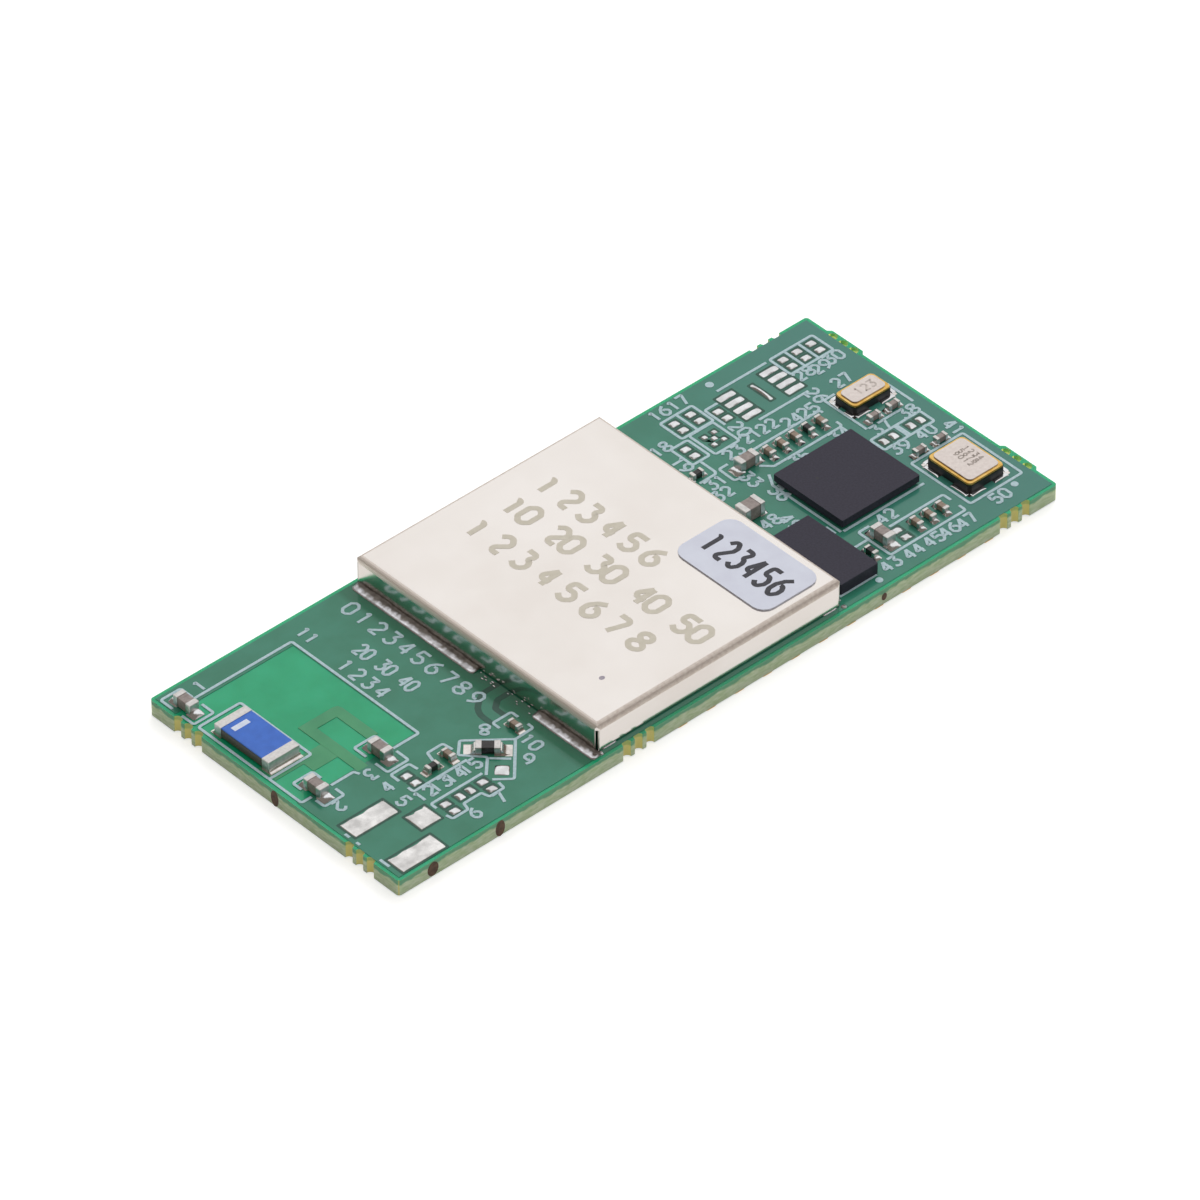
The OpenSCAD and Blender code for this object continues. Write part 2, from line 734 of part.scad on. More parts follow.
circuit_board();
perimeter_lands();
ground_lands();
shield_can();
shield_solder();
serial_label();
antenna_body();
antenna_terminals();
antenna_joints();
antenna_capacitors();
antenna_capacitor_terminals();
antenna_capacitor_joints();
matching_capacitors();
matching_inductor();
matching_terminals();
matching_joints();
path_resistor();
path_resistor_terminals();
path_resistor_joints();
connector_pads();
matching_pads();
controller_chip();
controller_balls();
memory_chip();
memory_joints();
large_crystal_base();
large_crystal_ring();
large_crystal_lid();
large_crystal_joints();
small_crystal_base();
small_crystal_ring();
small_crystal_lid();
small_crystal_joints();
load_capacitors();
load_capacitor_terminals();
load_capacitor_joints();
supply_capacitors();
supply_capacitor_terminals();
supply_capacitor_joints();
bypass_capacitors();
bypass_capacitor_terminals();
bypass_capacitor_joints();
option_resistors();
option_resistor_terminals();
option_resistor_joints();
option_pads();
sensor_pads();
expansion_pads();
radio_chip();
radio_balls();
front_end_module();
radio_pads();
radio_crystal_base();
radio_crystal_lid();
radio_capacitors();
radio_capacitor_terminals();
radio_capacitor_joints();
power_inductor();
power_inductor_joints();
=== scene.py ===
# %% [markdown]
# This part is a small wireless network module: a green circuit board as long as a finger joint, with a
# folded shield can over the radio, a chip antenna at one end, and a processor with its crystals at the other.
# The shapes come from the CAD frame, which is loaded first. Each later step dresses one thing: first the
# camera and the light, then the finishes, then the thin layers that a CAD model leaves out, such as
# copper, printed legend, solder and marks. Everything is in metres, so a millimetre is 0.001.
# %% Load the frame
from math import cos, pi, radians, sin
from random import Random
from types import SimpleNamespace

import bmesh
import bpy
from mathutils import Matrix, Vector


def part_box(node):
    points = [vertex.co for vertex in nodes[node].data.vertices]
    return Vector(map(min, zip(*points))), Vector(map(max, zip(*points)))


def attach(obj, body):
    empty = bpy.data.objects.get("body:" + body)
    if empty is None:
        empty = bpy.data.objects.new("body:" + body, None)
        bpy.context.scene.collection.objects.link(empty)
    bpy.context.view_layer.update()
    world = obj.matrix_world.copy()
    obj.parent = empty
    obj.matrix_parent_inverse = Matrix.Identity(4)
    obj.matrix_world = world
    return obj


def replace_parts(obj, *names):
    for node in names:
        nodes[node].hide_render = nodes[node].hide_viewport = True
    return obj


MM = 0.001
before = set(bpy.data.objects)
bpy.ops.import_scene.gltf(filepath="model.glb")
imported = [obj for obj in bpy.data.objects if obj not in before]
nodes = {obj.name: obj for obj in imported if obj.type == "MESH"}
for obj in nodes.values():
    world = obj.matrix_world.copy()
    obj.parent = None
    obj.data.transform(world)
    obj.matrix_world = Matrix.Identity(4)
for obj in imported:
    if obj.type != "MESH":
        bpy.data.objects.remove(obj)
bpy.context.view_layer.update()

# %% [markdown]
# Many CAD nodes are groups, such as all the small capacitors of one kind. What goes beside each of them,
# such as its printed outline, needs the place of each single solid. A node's mesh arrives as loose
# triangles, so a copy is merged by distance, and walking from point to point then finds each solid.
# %% Find the solids in a node

weld = 0.0005 * MM


def solids(name):
    """The boxes of a node's separate solids in mm, as (x0, y0, z0, x1, y1, z1), sorted by x and then y."""
    copy = bmesh.new()
    copy.from_mesh(nodes[name].data)
    bmesh.ops.remove_doubles(copy, verts=copy.verts, dist=weld)
    waiting = set(copy.verts)
    boxes = []
    while waiting:
        ahead = [waiting.pop()]
        reached = []
        while ahead:
            point = ahead.pop()
            reached.append(point.co / MM)
            fresh = {edge.other_vert(point) for edge in point.link_edges} & waiting
            waiting -= fresh
            ahead.extend(fresh)
        low = [min(place[axis] for place in reached) for axis in range(3)]
        high = [max(place[axis] for place in reached) for axis in range(3)]
        boxes.append((*low, *high))
    copy.free()
    return sorted(boxes)


def box(name):
    """The box of a whole node in mm, as (x0, y0, z0, x1, y1, z1)."""
    low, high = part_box(name)
    return (*(low / MM), *(high / MM))


board = box("circuit_board")
can = box("shield_can")
board_top = board[5]
half_width = (board[4] - board[1]) / 2
print("the board's top is at", round(board_top, 3), "mm and the can reaches", round(can[5], 3), "mm")

# %% [markdown]
# A product photographer stands well back with a long lens, so that near and far edges look almost
# parallel. The camera here does the same: it looks down at 40 degrees on the antenna end, from about
# 0.4 metres, and a long focal length fills the frame. Its turn matrix is built from three directions.
# %% Camera
azimuth = radians(-42.378)
elevation = radians(40.056)
roll = radians(-0.223)
distance = 0.4142
aim = Vector((-0.047, 0.473, 0.04)) * MM
back = Vector((sin(azimuth) * cos(elevation), -cos(azimuth) * cos(elevation), sin(elevation)))
right = Vector((cos(azimuth), sin(azimuth), 0))
up = back.cross(right)
turned_right = cos(roll) * right + sin(roll) * up
turned_up = cos(roll) * up - sin(roll) * right
lens = bpy.data.cameras.new("long_lens")
lens.sensor_width = 36
lens.lens = 316.466
lens.clip_start = 0.01
lens.clip_end = 10
camera = bpy.data.objects.new("long_lens", lens)
bpy.context.scene.collection.objects.link(camera)
turn = Matrix((turned_right, turned_up, back)).transposed().to_4x4()
camera.matrix_world = Matrix.Translation(aim + back * distance) @ turn
bpy.context.scene.camera = camera
bpy.context.scene.view_settings.view_transform = "Standard"
print("the camera stands at", [round(value, 3) for value in camera.location])

# %% [markdown]
# Colours are written as the hex values that a screen shows, and one function turns them to the linear
# values that Blender computes with. One more small function adds a node to a tree: it takes the node's
# settings by name, and for each input a plain value, a hex colour or the output that feeds it. Every tree
# below, for light, finishes and shapes, is built with it.
# %% Helpers for colours and nodes


def linear(shown):
    """A hex colour, as a screen shows it, in linear red, green, blue and alpha."""
    parts = [int(shown[start : start + 2], 16) / 255 for start in (1, 3, 5)]
    return [part / 12.92 if part <= 0.04045 else ((part + 0.055) / 1.055) ** 2.4 for part in parts] + [1]


def add(tree, kind, inputs=None, **settings):
    """Adds a node, applies its settings, and links or fills its inputs; a colour may be a hex value."""
    node = tree.nodes.new(kind)
    for name, value in settings.items():
        setattr(node, name, value)
    for key, value in (inputs or {}).items():
        if isinstance(value, bpy.types.NodeSocket):
            tree.links.new(value, node.inputs[key])
        else:
            node.inputs[key].default_value = linear(value) if isinstance(value, str) else value
    return node


print("a mid grey is", round(linear("#808080")[0], 3), "in linear light")

# %% [markdown]
# Small metal things look like metal because of what they mirror. A large soft box over and behind the
# table gives bright lids, and the dim room in front gives the dark bands on what faces the viewer. The
# world holds both: a bright cap of sky round a tilted axis, and a dim, slightly warm rest. The camera
# itself sees plain white past the floor, and so do rays that pass through glass or resin.
# %% World
softbox_axis = Vector((0.6, 0.33, 0.73)).normalized()
softbox_edges = (0.40, 0.62)
studio = bpy.data.worlds.new("soft_studio")
bpy.context.scene.world = studio
studio.use_nodes = True
sky = studio.node_tree
toward = add(sky, "ShaderNodeTexCoord").outputs["Generated"]
height = add(sky, "ShaderNodeVectorMath", {0: toward, 1: softbox_axis}, operation="DOT_PRODUCT")
cap = add(
    sky,
    "ShaderNodeMapRange",
    {0: height.outputs["Value"], 1: softbox_edges[0], 2: softbox_edges[1]},
    interpolation_type="SMOOTHSTEP",
)
room = add(sky, "ShaderNodeMix", {0: cap.outputs[0], 6: "#7d766e", 7: "#ffffff"}, data_type="RGBA").outputs[2]
rays = add(sky, "ShaderNodeLightPath").outputs
plain = add(
    sky, "ShaderNodeMath", {0: rays["Is Camera Ray"], 1: rays["Is Transmission Ray"]}, operation="MAXIMUM"
)
seen = add(sky, "ShaderNodeMix", {0: plain.outputs[0], 6: room, 7: "#ffffff"}, data_type="RGBA")
background = sky.nodes["Background"]
sky.links.new(seen.outputs[2], background.inputs["Color"])
background.inputs["Strength"].default_value = 1.0
print("the soft box is tilted", round(softbox_axis.angle((0, 0, 1)) * 180 / pi), "degrees from overhead")

# %% [markdown]
# The floor is a plain pale sheet, whose own colour catches the module's shadow. A little glow is added for
# the camera, and for mirrored and transmitted rays too, so that it reads as white paper without throwing more
# light on the module. For mirrored rays the glow is a painted pool of light: the sheet stays bright only
# close to the module and falls off further out, as it would under a real soft box.
# %% Floor
seen_glow, mirrored_glow, far_glow = 0.62, 0.36, 0.02
falloff_from, falloff_to = 0.018, 0.06
bpy.ops.mesh.primitive_plane_add(size=3, location=(0, 0, -0.00001))
floor = bpy.context.object
floor.name = "floor"
paper = bpy.data.materials.new("matte_paper_backdrop")
paper.use_nodes = True
sheet_tree = paper.node_tree
sheet = sheet_tree.nodes["Principled BSDF"]
sheet.inputs["Base Color"].default_value = linear("#cfcecd")
sheet.inputs["Roughness"].default_value = 0.9
sheet.inputs["Specular IOR Level"].default_value = 0.1
sheet_rays = add(sheet_tree, "ShaderNodeLightPath").outputs
spot = add(sheet_tree, "ShaderNodeTexCoord").outputs["Object"]
reach = add(sheet_tree, "ShaderNodeVectorMath", {0: spot}, operation="LENGTH").outputs["Value"]
# Painted pool of light: the glow that mirrored rays see fades from near the module to far out.
falloff = add(
    sheet_tree,
    "ShaderNodeMapRange",
    {0: reach, 1: falloff_from, 2: falloff_to, 3: mirrored_glow, 4: far_glow},
).outputs[0]
mirrored = add(
    sheet_tree, "ShaderNodeMath", {0: sheet_rays["Is Glossy Ray"], 1: falloff}, operation="MULTIPLY"
)
plain = add(
    sheet_tree,
    "ShaderNodeMath",
    {0: sheet_rays["Is Camera Ray"], 1: sheet_rays["Is Transmission Ray"]},
    operation="MAXIMUM",
)
watched = add(sheet_tree, "ShaderNodeMath", {0: plain.outputs[0], 1: seen_glow}, operation="MULTIPLY")
glow = add(sheet_tree, "ShaderNodeMath", {0: watched.outputs[0], 1: mirrored.outputs[0]}, operation="ADD")
sheet_tree.links.new(glow.outputs[0], sheet.inputs["Emission Strength"])
sheet.inputs["Emission Color"].default_value = linear("#ffffff")
floor.data.materials.append(paper)
print("the floor is", round(floor.dimensions.x, 2), "m wide")

# %% [markdown]
# Two wide area lamps finish the light. The key lamp hangs high behind the right shoulder of the module and
# gives shadows a direction. The fill lamp stands low in front, and lights the sides that face the viewer.
# Both are kept out of mirrored rays, so that only the soft box shows in metal and the folds stay calm.
# %% Lamps


def lamp(name, direction, distance, size, power):
    """A square area lamp that looks at the module."""
    data = bpy.data.lights.new(name, "AREA")
    data.size = size
    data.energy = power
    made = bpy.data.objects.new(name, data)
    bpy.context.scene.collection.objects.link(made)
    made.location = Vector(direction).normalized() * distance
    made.rotation_mode = "QUATERNION"
    made.rotation_quaternion = (-made.location).to_track_quat("-Z", "Y")
    return made


key_lamp = lamp("key_lamp", (0.53, 0.38, 0.76), 0.45, 0.25, 0.56)
fill_lamp = lamp("fill_lamp", (-0.5, -0.65, 0.45), 0.45, 0.35, 0.22)
key_lamp.visible_glossy = fill_lamp.visible_glossy = False
print("the key lamp hangs", round(key_lamp.location.z, 2), "m above the floor")

# %% [markdown]
# Each finish starts the same way: a Principled surface named for the real material, whose colour drifts
# between two close tones over a grain of a known size, and whose face has a relief of a known depth.
# The noise works in object coordinates, where one unit is a metre, so a grain of g mm needs a scale of
# one over g mm. What a finish has beyond that, such as layers, wear or print, is added to its tree, so
# the function hands back the tree and its useful outputs along with the surface.
# %% Start a finish


def finish(name, tones, grain, relief, roughness, metallic=0.0):
    """A surface that drifts between two tones over a grain in mm, with a relief in mm and a roughness."""
    surface = bpy.data.materials.new(name)
    surface.use_nodes = True
    tree = surface.node_tree
    shader = tree.nodes["Principled BSDF"]
    place = add(tree, "ShaderNodeTexCoord").outputs["Object"]
    noise = add(
        tree, "ShaderNodeTexNoise", {"Vector": place, "Scale": 1 / (grain * MM), "Detail": 4.0}
    ).outputs[0]
    spread = add(tree, "ShaderNodeMapRange", {0: noise, 1: 0.35, 2: 0.65}).outputs[0]
    tone = add(tree, "ShaderNodeMix", {0: spread, 6: tones[0], 7: tones[1]}, data_type="RGBA").outputs[2]
    bump = add(tree, "ShaderNodeBump", {"Height": noise, "Distance": relief * MM, "Strength": 1.0})
    tree.links.new(tone, shader.inputs["Base Color"])
    tree.links.new(bump.outputs[0], shader.inputs["Normal"])
    shader.inputs["Roughness"].default_value = roughness
    shader.inputs["Metallic"].default_value = metallic
    return SimpleNamespace(surface=surface, tree=tree, shader=shader, place=place, tone=tone, bump=bump)


def facing(tree):
    """How far a face looks up, from 0 for a wall to 1 for a top or an underside."""
    normal = add(tree, "ShaderNodeNewGeometry").outputs["Normal"]
    upward = add(tree, "ShaderNodeSeparateXYZ", {0: normal}).outputs["Z"]
    return add(tree, "ShaderNodeMath", {0: upward}, operation="ABSOLUTE").outputs[0]


def dress(surface, *names):
    """Gives a finish to CAD nodes."""
    for name in names:
        nodes[name].data.materials.clear()
        nodes[name].data.materials.append(surface)


print("finishes are measured in millimetres of grain and relief")

# %% [markdown]
# The board is glass cloth in epoxy, printed with liquid solder mask. Where no copper lies under the mask
# it glows a bright leaf green, because light passes through the laminate, which is why this finish lets
# some light travel below its surface. The milled sides show the raw laminate in layers, a straw colour
# with a green film of mask running down from the top edge. The cloth's grain is pressed flat along the
# board, so its noise is squeezed upwards.
# %% Milled sides of the laminate
laminate = finish("solder_mask_printed_on_laminate", ("#0ea370", "#1cad7b"), 1.5, 0.004, 0.13)
tree, shader = laminate.tree, laminate.shader
film_foot, film_top = board_top - 0.09, board_top - 0.01
side = add(tree, "ShaderNodeMapRange", {0: facing(tree), 1: 0.6, 2: 0.4}).outputs[0]
spread = add(tree, "ShaderNodeSeparateXYZ", {0: laminate.place}).outputs
drip = add(
    tree, "ShaderNodeTexNoise", {"Vector": laminate.place, "Scale": 1 / (0.5 * MM), "Detail": 2.0}
).outputs[0]
film_edge = add(
    tree, "ShaderNodeMath", {0: drip, 1: 0.3 * MM, 2: spread["Z"]}, operation="MULTIPLY_ADD"
).outputs[0]
layer = add(tree, "ShaderNodeMapRange", {0: film_edge, 1: film_foot * MM, 2: film_top * MM}).outputs[0]
flat = add(tree, "ShaderNodeVectorMath", {0: laminate.place, 1: (1, 1, 3.5)}, operation="MULTIPLY").outputs[0]
cloth = add(tree, "ShaderNodeTexNoise", {"Vector": flat, "Scale": 1 / (0.35 * MM), "Detail": 3.0}).outputs[0]
weave = add(tree, "ShaderNodeMapRange", {0: cloth, 1: 0.36, 2: 0.64}).outputs[0]
resin = add(tree, "ShaderNodeMix", {0: weave, 6: "#bed6a8", 7: "#daeacb"}, data_type="RGBA").outputs[2]
milled = add(tree, "ShaderNodeMix", {0: layer, 6: resin, 7: "#70b08c"}, data_type="RGBA").outputs[2]
print("the film of mask ends", round(board_top - film_foot, 2), "mm below the top")

# %% [markdown]
# The holes drilled along the break lines show a yellower wall than the milled sides. Their walls also carry a
# painted glow, an emission that stands in for light coming through the thin laminate round them. Their walls
# are the upright faces that lie inside the board's straight edges, so the distance from each centre line
# finds them. The stubs at the crystal end are thinnest, so the painted glow is stronger there.
# %% Drilled holes
edge_margin = 0.03
stub_from, stub_to = 17.0, 17.1
hole = side
for axis, reach in (("X", -board[0]), ("Y", half_width)):
    off_centre = add(tree, "ShaderNodeMath", {0: spread[axis]}, operation="ABSOLUTE").outputs[0]
    limit = (reach - edge_margin) * MM
    within = add(tree, "ShaderNodeMath", {0: off_centre, 1: limit}, operation="LESS_THAN").outputs[0]
    hole = add(tree, "ShaderNodeMath", {0: hole, 1: within}, operation="MULTIPLY").outputs[0]
drilled = add(tree, "ShaderNodeMix", {0: layer, 6: "#d0cb8c", 7: "#96b277"}, data_type="RGBA").outputs[2]
edge = add(tree, "ShaderNodeMix", {0: hole, 6: milled, 7: drilled}, data_type="RGBA").outputs[2]
# Painted glow: the hole walls emit a dull yellow, up to four times stronger at the stubs of the crystal end.
through = add(tree, "ShaderNodeMix", {0: hole, 6: "#000000", 7: "#5b562c"}, data_type="RGBA").outputs[2]
painted_glow_strength = add(
    tree, "ShaderNodeMapRange", {0: spread["X"], 1: stub_from * MM, 2: stub_to * MM, 3: 1.0, 4: 4.0}
).outputs[0]
colour = add(tree, "ShaderNodeMix", {0: side, 6: laminate.tone, 7: edge}, data_type="RGBA").outputs[2]
dullness = add(tree, "ShaderNodeMapRange", {0: side, 3: 0.13, 4: 0.6}).outputs[0]
for socket, output in (
    ("Emission Color", through),
    ("Emission Strength", painted_glow_strength),
    ("Base Color", colour),
    ("Roughness", dullness),
):
    tree.links.new(output, shader.inputs[socket])
shader.inputs["Subsurface Weight"].default_value = 0.35
shader.inputs["Subsurface Radius"].default_value = (0.8, 1.0, 0.5)
shader.inputs["Subsurface Scale"].default_value = 0.5 * MM
dress(laminate.surface, "circuit_board")
print("the board's finish has", len(tree.nodes), "nodes")

# %% [markdown]
# Over copper the same mask looks greyer and darker, since no light travels below it. Its green turns slightly
# bluer towards the crystal end. Beside the can's wall on the antenna side the green is darkened with painted
# shade, which stands in for the wall's shadow, so that strip is mixed towards a darker tone. Ink is dull and
# pale, and dries with a fine grain.
# %% Mask on copper, mask in gaps, and legend ink
# Painted shade: a strip of mask beside the can's antenna-side wall is mixed towards a darker green.
can_shade_from, can_shade_full, can_shade_past = can[0] - 1.15, can[0] - 0.85, can[0] + 0.1
masked = finish("solder_mask_printed_on_copper", ("#2f7a60", "#36826a"), 1.2, 0.003, 0.13)
tree = masked.tree
along = add(tree, "ShaderNodeSeparateXYZ", {0: masked.place}).outputs["X"]
bluer = add(tree, "ShaderNodeMapRange", {0: along, 1: 4 * MM, 2: 16 * MM, 4: 0.8}).outputs[0]
tone = add(tree, "ShaderNodeMix", {0: bluer, 6: masked.tone, 7: "#407e74"}, data_type="RGBA").outputs[2]
to_can = add(tree, "ShaderNodeMapRange", {0: along, 1: can_shade_from * MM, 2: can_shade_full * MM}).outputs[0]
past_foot = add(tree, "ShaderNodeMath", {0: along, 1: can_shade_past * MM}, operation="LESS_THAN").outputs[0]
can_shade = add(tree, "ShaderNodeMath", {0: to_can, 1: past_foot}, operation="MULTIPLY").outputs[0]
can_shade_weight = add(tree, "ShaderNodeMath", {0: can_shade, 1: 0.6}, operation="MULTIPLY").outputs[0]
can_shaded_tone = add(tree, "ShaderNodeMix", {0: can_shade_weight, 6: tone, 7: "#0b6040"}, data_type="RGBA").outputs[2]
tree.links.new(can_shaded_tone, masked.shader.inputs["Base Color"])
mask_on_copper = masked.surface
# The mask in the copper gaps is painted dark, as shade at the gap's step.
gap_mask_painted_shade = finish("solder_mask_in_gap_with_painted_shade", ("#13493a", "#1a5544"), 0.6, 0.003, 0.15).surface
legend_ink = finish("screen_printed_legend_ink", ("#a9c3cb", "#bdd3da"), 0.12, 0.004, 0.55).surface
print("the flux film reaches", round(can[0] - can_shade_from, 2), "mm from the can")

# %% [markdown]
# The can is tin-plated steel, stamped and folded. The rolled sheet mirrors the studio with slightly blurred
# edges, but along each fold the plating is stretched and scored by the tool, so the fold is duller and
# browner. A face is a fold where it looks neither straight up nor sideways. The fold along the antenna side
# gets a painted highlight: where a fold faces that way, its tone is mixed towards a pale, nearly white one.
# %% Folds of the can
wall_limit, lid_limit = 0.05, 0.985
sheet_metal = finish("tin_plated_steel_sheet", ("#e9e2dc", "#efe9e4"), 4.0, 0.0012, 0.15, 1.0)
tree, shader = sheet_metal.tree, sheet_metal.shader
upright = facing(tree)
above_wall = add(tree, "ShaderNodeMath", {0: upright, 1: wall_limit}, operation="GREATER_THAN").outputs[0]
below_lid = add(tree, "ShaderNodeMath", {0: upright, 1: lid_limit}, operation="LESS_THAN").outputs[0]
fold = add(tree, "ShaderNodeMath", {0: above_wall, 1: below_lid}, operation="MULTIPLY").outputs[0]
score = add(
    tree, "ShaderNodeTexNoise", {"Vector": sheet_metal.place, "Scale": 1 / (0.15 * MM), "Detail": 3.0}
).outputs[0]
worn = add(tree, "ShaderNodeMapRange", {0: score, 1: 0.4, 2: 0.6}).outputs[0]
true_normal = add(tree, "ShaderNodeNewGeometry").outputs["Normal"]
sideways = add(tree, "ShaderNodeSeparateXYZ", {0: true_normal}).outputs
# Painted highlight: fold faces that look towards the antenna end are mixed towards a pale, nearly white tone.
left_fold_highlight = add(tree, "ShaderNodeMapRange", {0: sideways["X"], 1: -0.2, 2: -0.5}).outputs[0]
brown = add(tree, "ShaderNodeMix", {0: worn, 6: "#d8ccc3", 7: "#e2d8cf"}, data_type="RGBA").outputs[2]
scored_fold_and_painted_highlight = add(tree, "ShaderNodeMix", {0: left_fold_highlight, 6: brown, 7: "#fbf2ea"}, data_type="RGBA").outputs[2]
colour = add(tree, "ShaderNodeMix", {0: fold, 6: sheet_metal.tone, 7: scored_fold_and_painted_highlight}, data_type="RGBA").outputs[2]
rough = add(tree, "ShaderNodeMapRange", {0: fold, 3: 0.17, 4: 0.55}).outputs[0]
tree.links.new(colour, shader.inputs["Base Color"])
tree.links.new(rough, shader.inputs["Roughness"])
print("the folds are those faces that look up by", wall_limit, "to", lid_limit)

# %% [markdown]
# The walls are upright, but a pressed sheet is never quite flat, and a slight lean tips what it mirrors
# upwards. The near wall leans most. Only the shading normal is tipped, so the sheet keeps its shape.
# %% Lean of the can's walls
lean_of_walls, lean_of_near_wall = 0.12, 0.22
wall = add(tree, "ShaderNodeMath", {0: upright, 1: wall_limit}, operation="LESS_THAN").outputs[0]
amount = add(
    tree, "ShaderNodeMapRange", {0: sideways["Y"], 1: -0.6, 2: -0.9, 3: lean_of_walls, 4: lean_of_near_wall}
).outputs[0]
lean = add(tree, "ShaderNodeMath", {0: wall, 1: amount}, operation="MULTIPLY").outputs[0]
tip = add(tree, "ShaderNodeCombineXYZ", {"Z": lean}).outputs[0]
tipped = add(tree, "ShaderNodeVectorMath", {0: true_normal, 1: tip}, operation="ADD").outputs[0]
level_normal = add(tree, "ShaderNodeVectorMath", {0: tipped}, operation="NORMALIZE").outputs[0]
tree.links.new(level_normal, sheet_metal.bump.inputs["Normal"])
dress(sheet_metal.surface, "shield_can")
print("the can's finish has", len(tree.nodes), "nodes")

# %% [markdown]
# Solder freezes with a bright, lightly dimpled skin, and thick tin plating on chip ends looks alike but a
# little duller. The lands are gold over nickel, which stays thin and smooth. The lids of the crystals are
# nickel-plated and brushed to a satin. Each is a pure metal, so its tone is the tint of its mirror image.
# %% Solder, plating and gold
pad_nodes = ("option_pads", "sensor_pads", "connector_pads", "matching_pads", "expansion_pads")
joint_nodes = [name for name in nodes if name.endswith(("_joints", "_balls"))]
terminal_nodes = [name for name in nodes if name.endswith("_terminals")]
reflowed = finish("reflowed_tin_solder", ("#d3cdc8", "#ebe6e2"), 0.35, 0.003, 0.2, 1.0).surface
dress(reflowed, "shield_solder", "radio_pads", *pad_nodes, *joint_nodes)
tinned = finish("tin_plated_terminal", ("#ccc9c6", "#dcd9d6"), 0.12, 0.002, 0.33, 1.0).surface
dress(tinned, *terminal_nodes)
gold = finish("immersion_gold_on_nickel", ("#d8aa55", "#ecc578"), 0.3, 0.002, 0.25, 1.0).surface
dress(gold, "perimeter_lands", "ground_lands", "large_crystal_ring", "small_crystal_ring")
nickel = finish("satin_nickel_plated_lid", ("#d6cbc5", "#e0d6d0"), 0.15, 0.002, 0.33, 1.0).surface
dress(nickel, "large_crystal_lid", "small_crystal_lid", "radio_crystal_lid")
print("made the metals, with tin on", len(joint_nodes) + len(terminal_nodes), "nodes")

# %% [markdown]
# The rest is moulded, fired or printed. Black epoxy packages have a fine matte grain, and hardly mirror.
# Crystal bases are a dark ceramic with a low sheen. Capacitors are fired ceramic, tan or grey by their
# dielectric, with a chalky speckle. Resistors have a glass coat, black and glossy. The label is a smooth
# white film. One row each gives a finish and the nodes that have it.
# %% Package, ceramic and film finishes
epoxy = finish("transfer_moulded_black_epoxy", ("#2a2735", "#312e3d"), 0.09, 0.005, 0.5)
epoxy.shader.inputs["Specular IOR Level"].default_value = 0.3
dress(epoxy.surface, "controller_chip", "memory_chip", "radio_chip", "front_end_module", "power_inductor")
fired = (
    (("fired_dark_ceramic", ("#1b1a1d", "#262428"), 0.12, 0.004, 0.35),
     ("large_crystal_base", "small_crystal_base", "radio_crystal_base")),
    (("fired_tan_dielectric", ("#827062", "#9a8878"), 0.12, 0.004, 0.4),
     ("bypass_capacitors", "matching_capacitors")),
    (("fired_grey_dielectric", ("#857a76", "#9d918c"), 0.14, 0.004, 0.4),
     ("antenna_capacitors", "supply_capacitors", "radio_capacitors", "load_capacitors")),
    (("fired_black_glass_coat", ("#1d1a1a", "#2a2626"), 0.15, 0.003, 0.25),
     ("path_resistor", "option_resistors", "matching_inductor")),
    (("white_polyester_film", ("#d4d7e6", "#dadeec"), 0.8, 0.001, 0.4), ("serial_label",)),
)
for start, names in fired:
    dress(finish(*start).surface, *names)
print("made", len(fired) + 1, "package finishes")

# %% [markdown]
# The antenna is a block of grey ceramic with a blue glaze on top only. The glaze ends just below the top
# edge, so height alone tells where the blue gives way to the bare ceramic.
# %% Antenna glaze
glaze = finish("blue_glaze_on_antenna_ceramic", ("#2863c4", "#2f6cd0"), 0.4, 0.003, 0.2)
antenna = box("antenna_body")
glaze_foot, glaze_full = antenna[5] - 0.06, antenna[5] - 0.03
tree = glaze.tree
level = add(tree, "ShaderNodeSeparateXYZ", {0: glaze.place}).outputs["Z"]
glazed = add(tree, "ShaderNodeMapRange", {0: level, 1: glaze_foot * MM, 2: glaze_full * MM}).outputs[0]
colour = add(tree, "ShaderNodeMix", {0: glazed, 6: "#5d5750", 7: glaze.tone}, data_type="RGBA").outputs[2]
tree.links.new(colour, glaze.shader.inputs["Base Color"])
dress(glaze.surface, "antenna_body")
bare = [name for name, node in nodes.items() if not node.data.materials or not node.data.materials[0]]
print("nodes without a finish:", bare)

# %% [markdown]
# Copper, legend ink and marks are far thinner than the board, so each is a thin plate laid on what
# carries it. Plates are cut from flat curves: a closed outline is filled, and an outline inside another
# becomes a hole. The curve is drawn in millimetres and shrunk once it is a mesh, which keeps the
# filling exact. Every piece ends in one function, which merges doubles and turns the faces outwards.
# %% Place finished pieces and cut plates from outlines
piece_weld = 0.0002 * MM


def place_piece(name, mesh, surface):
    """Makes a finished mesh a piece of the module, riding on its one body."""
    tidy = bmesh.new()
    tidy.from_mesh(mesh)
    bmesh.ops.remove_doubles(tidy, verts=tidy.verts, dist=piece_weld)
    bmesh.ops.recalc_face_normals(tidy, faces=tidy.faces)
    tidy.to_mesh(mesh)
    tidy.free()
    mesh.materials.clear()
    mesh.materials.append(surface)
    piece = bpy.data.objects.new(name, mesh)
    bpy.context.scene.collection.objects.link(piece)
    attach(piece, "root")
    print(name, "has", len(mesh.polygons), "faces")
    return piece


def place_build(name, build, surface, smooth_under=0):
    """Makes what was built in mm a piece, with smooth faces where they have fewer corners than a number."""
    mesh = bpy.data.meshes.new(name)
    build.to_mesh(mesh)
    build.free()
    mesh.transform(Matrix.Scale(MM, 4))
    mesh.polygons.foreach_set("use_smooth", [len(face.vertices) < smooth_under for face in mesh.polygons])
    return place_piece(name, mesh, surface)


def skin(build, rings):
    """Joins closed rings of points, each to the next, with four-sided faces."""
    count = len(rings[0])
    for first, second in zip(rings, rings[1:]):
        for k in range(count):
            build.faces.new((first[k], first[(k + 1) % count], second[(k + 1) % count], second[k]))


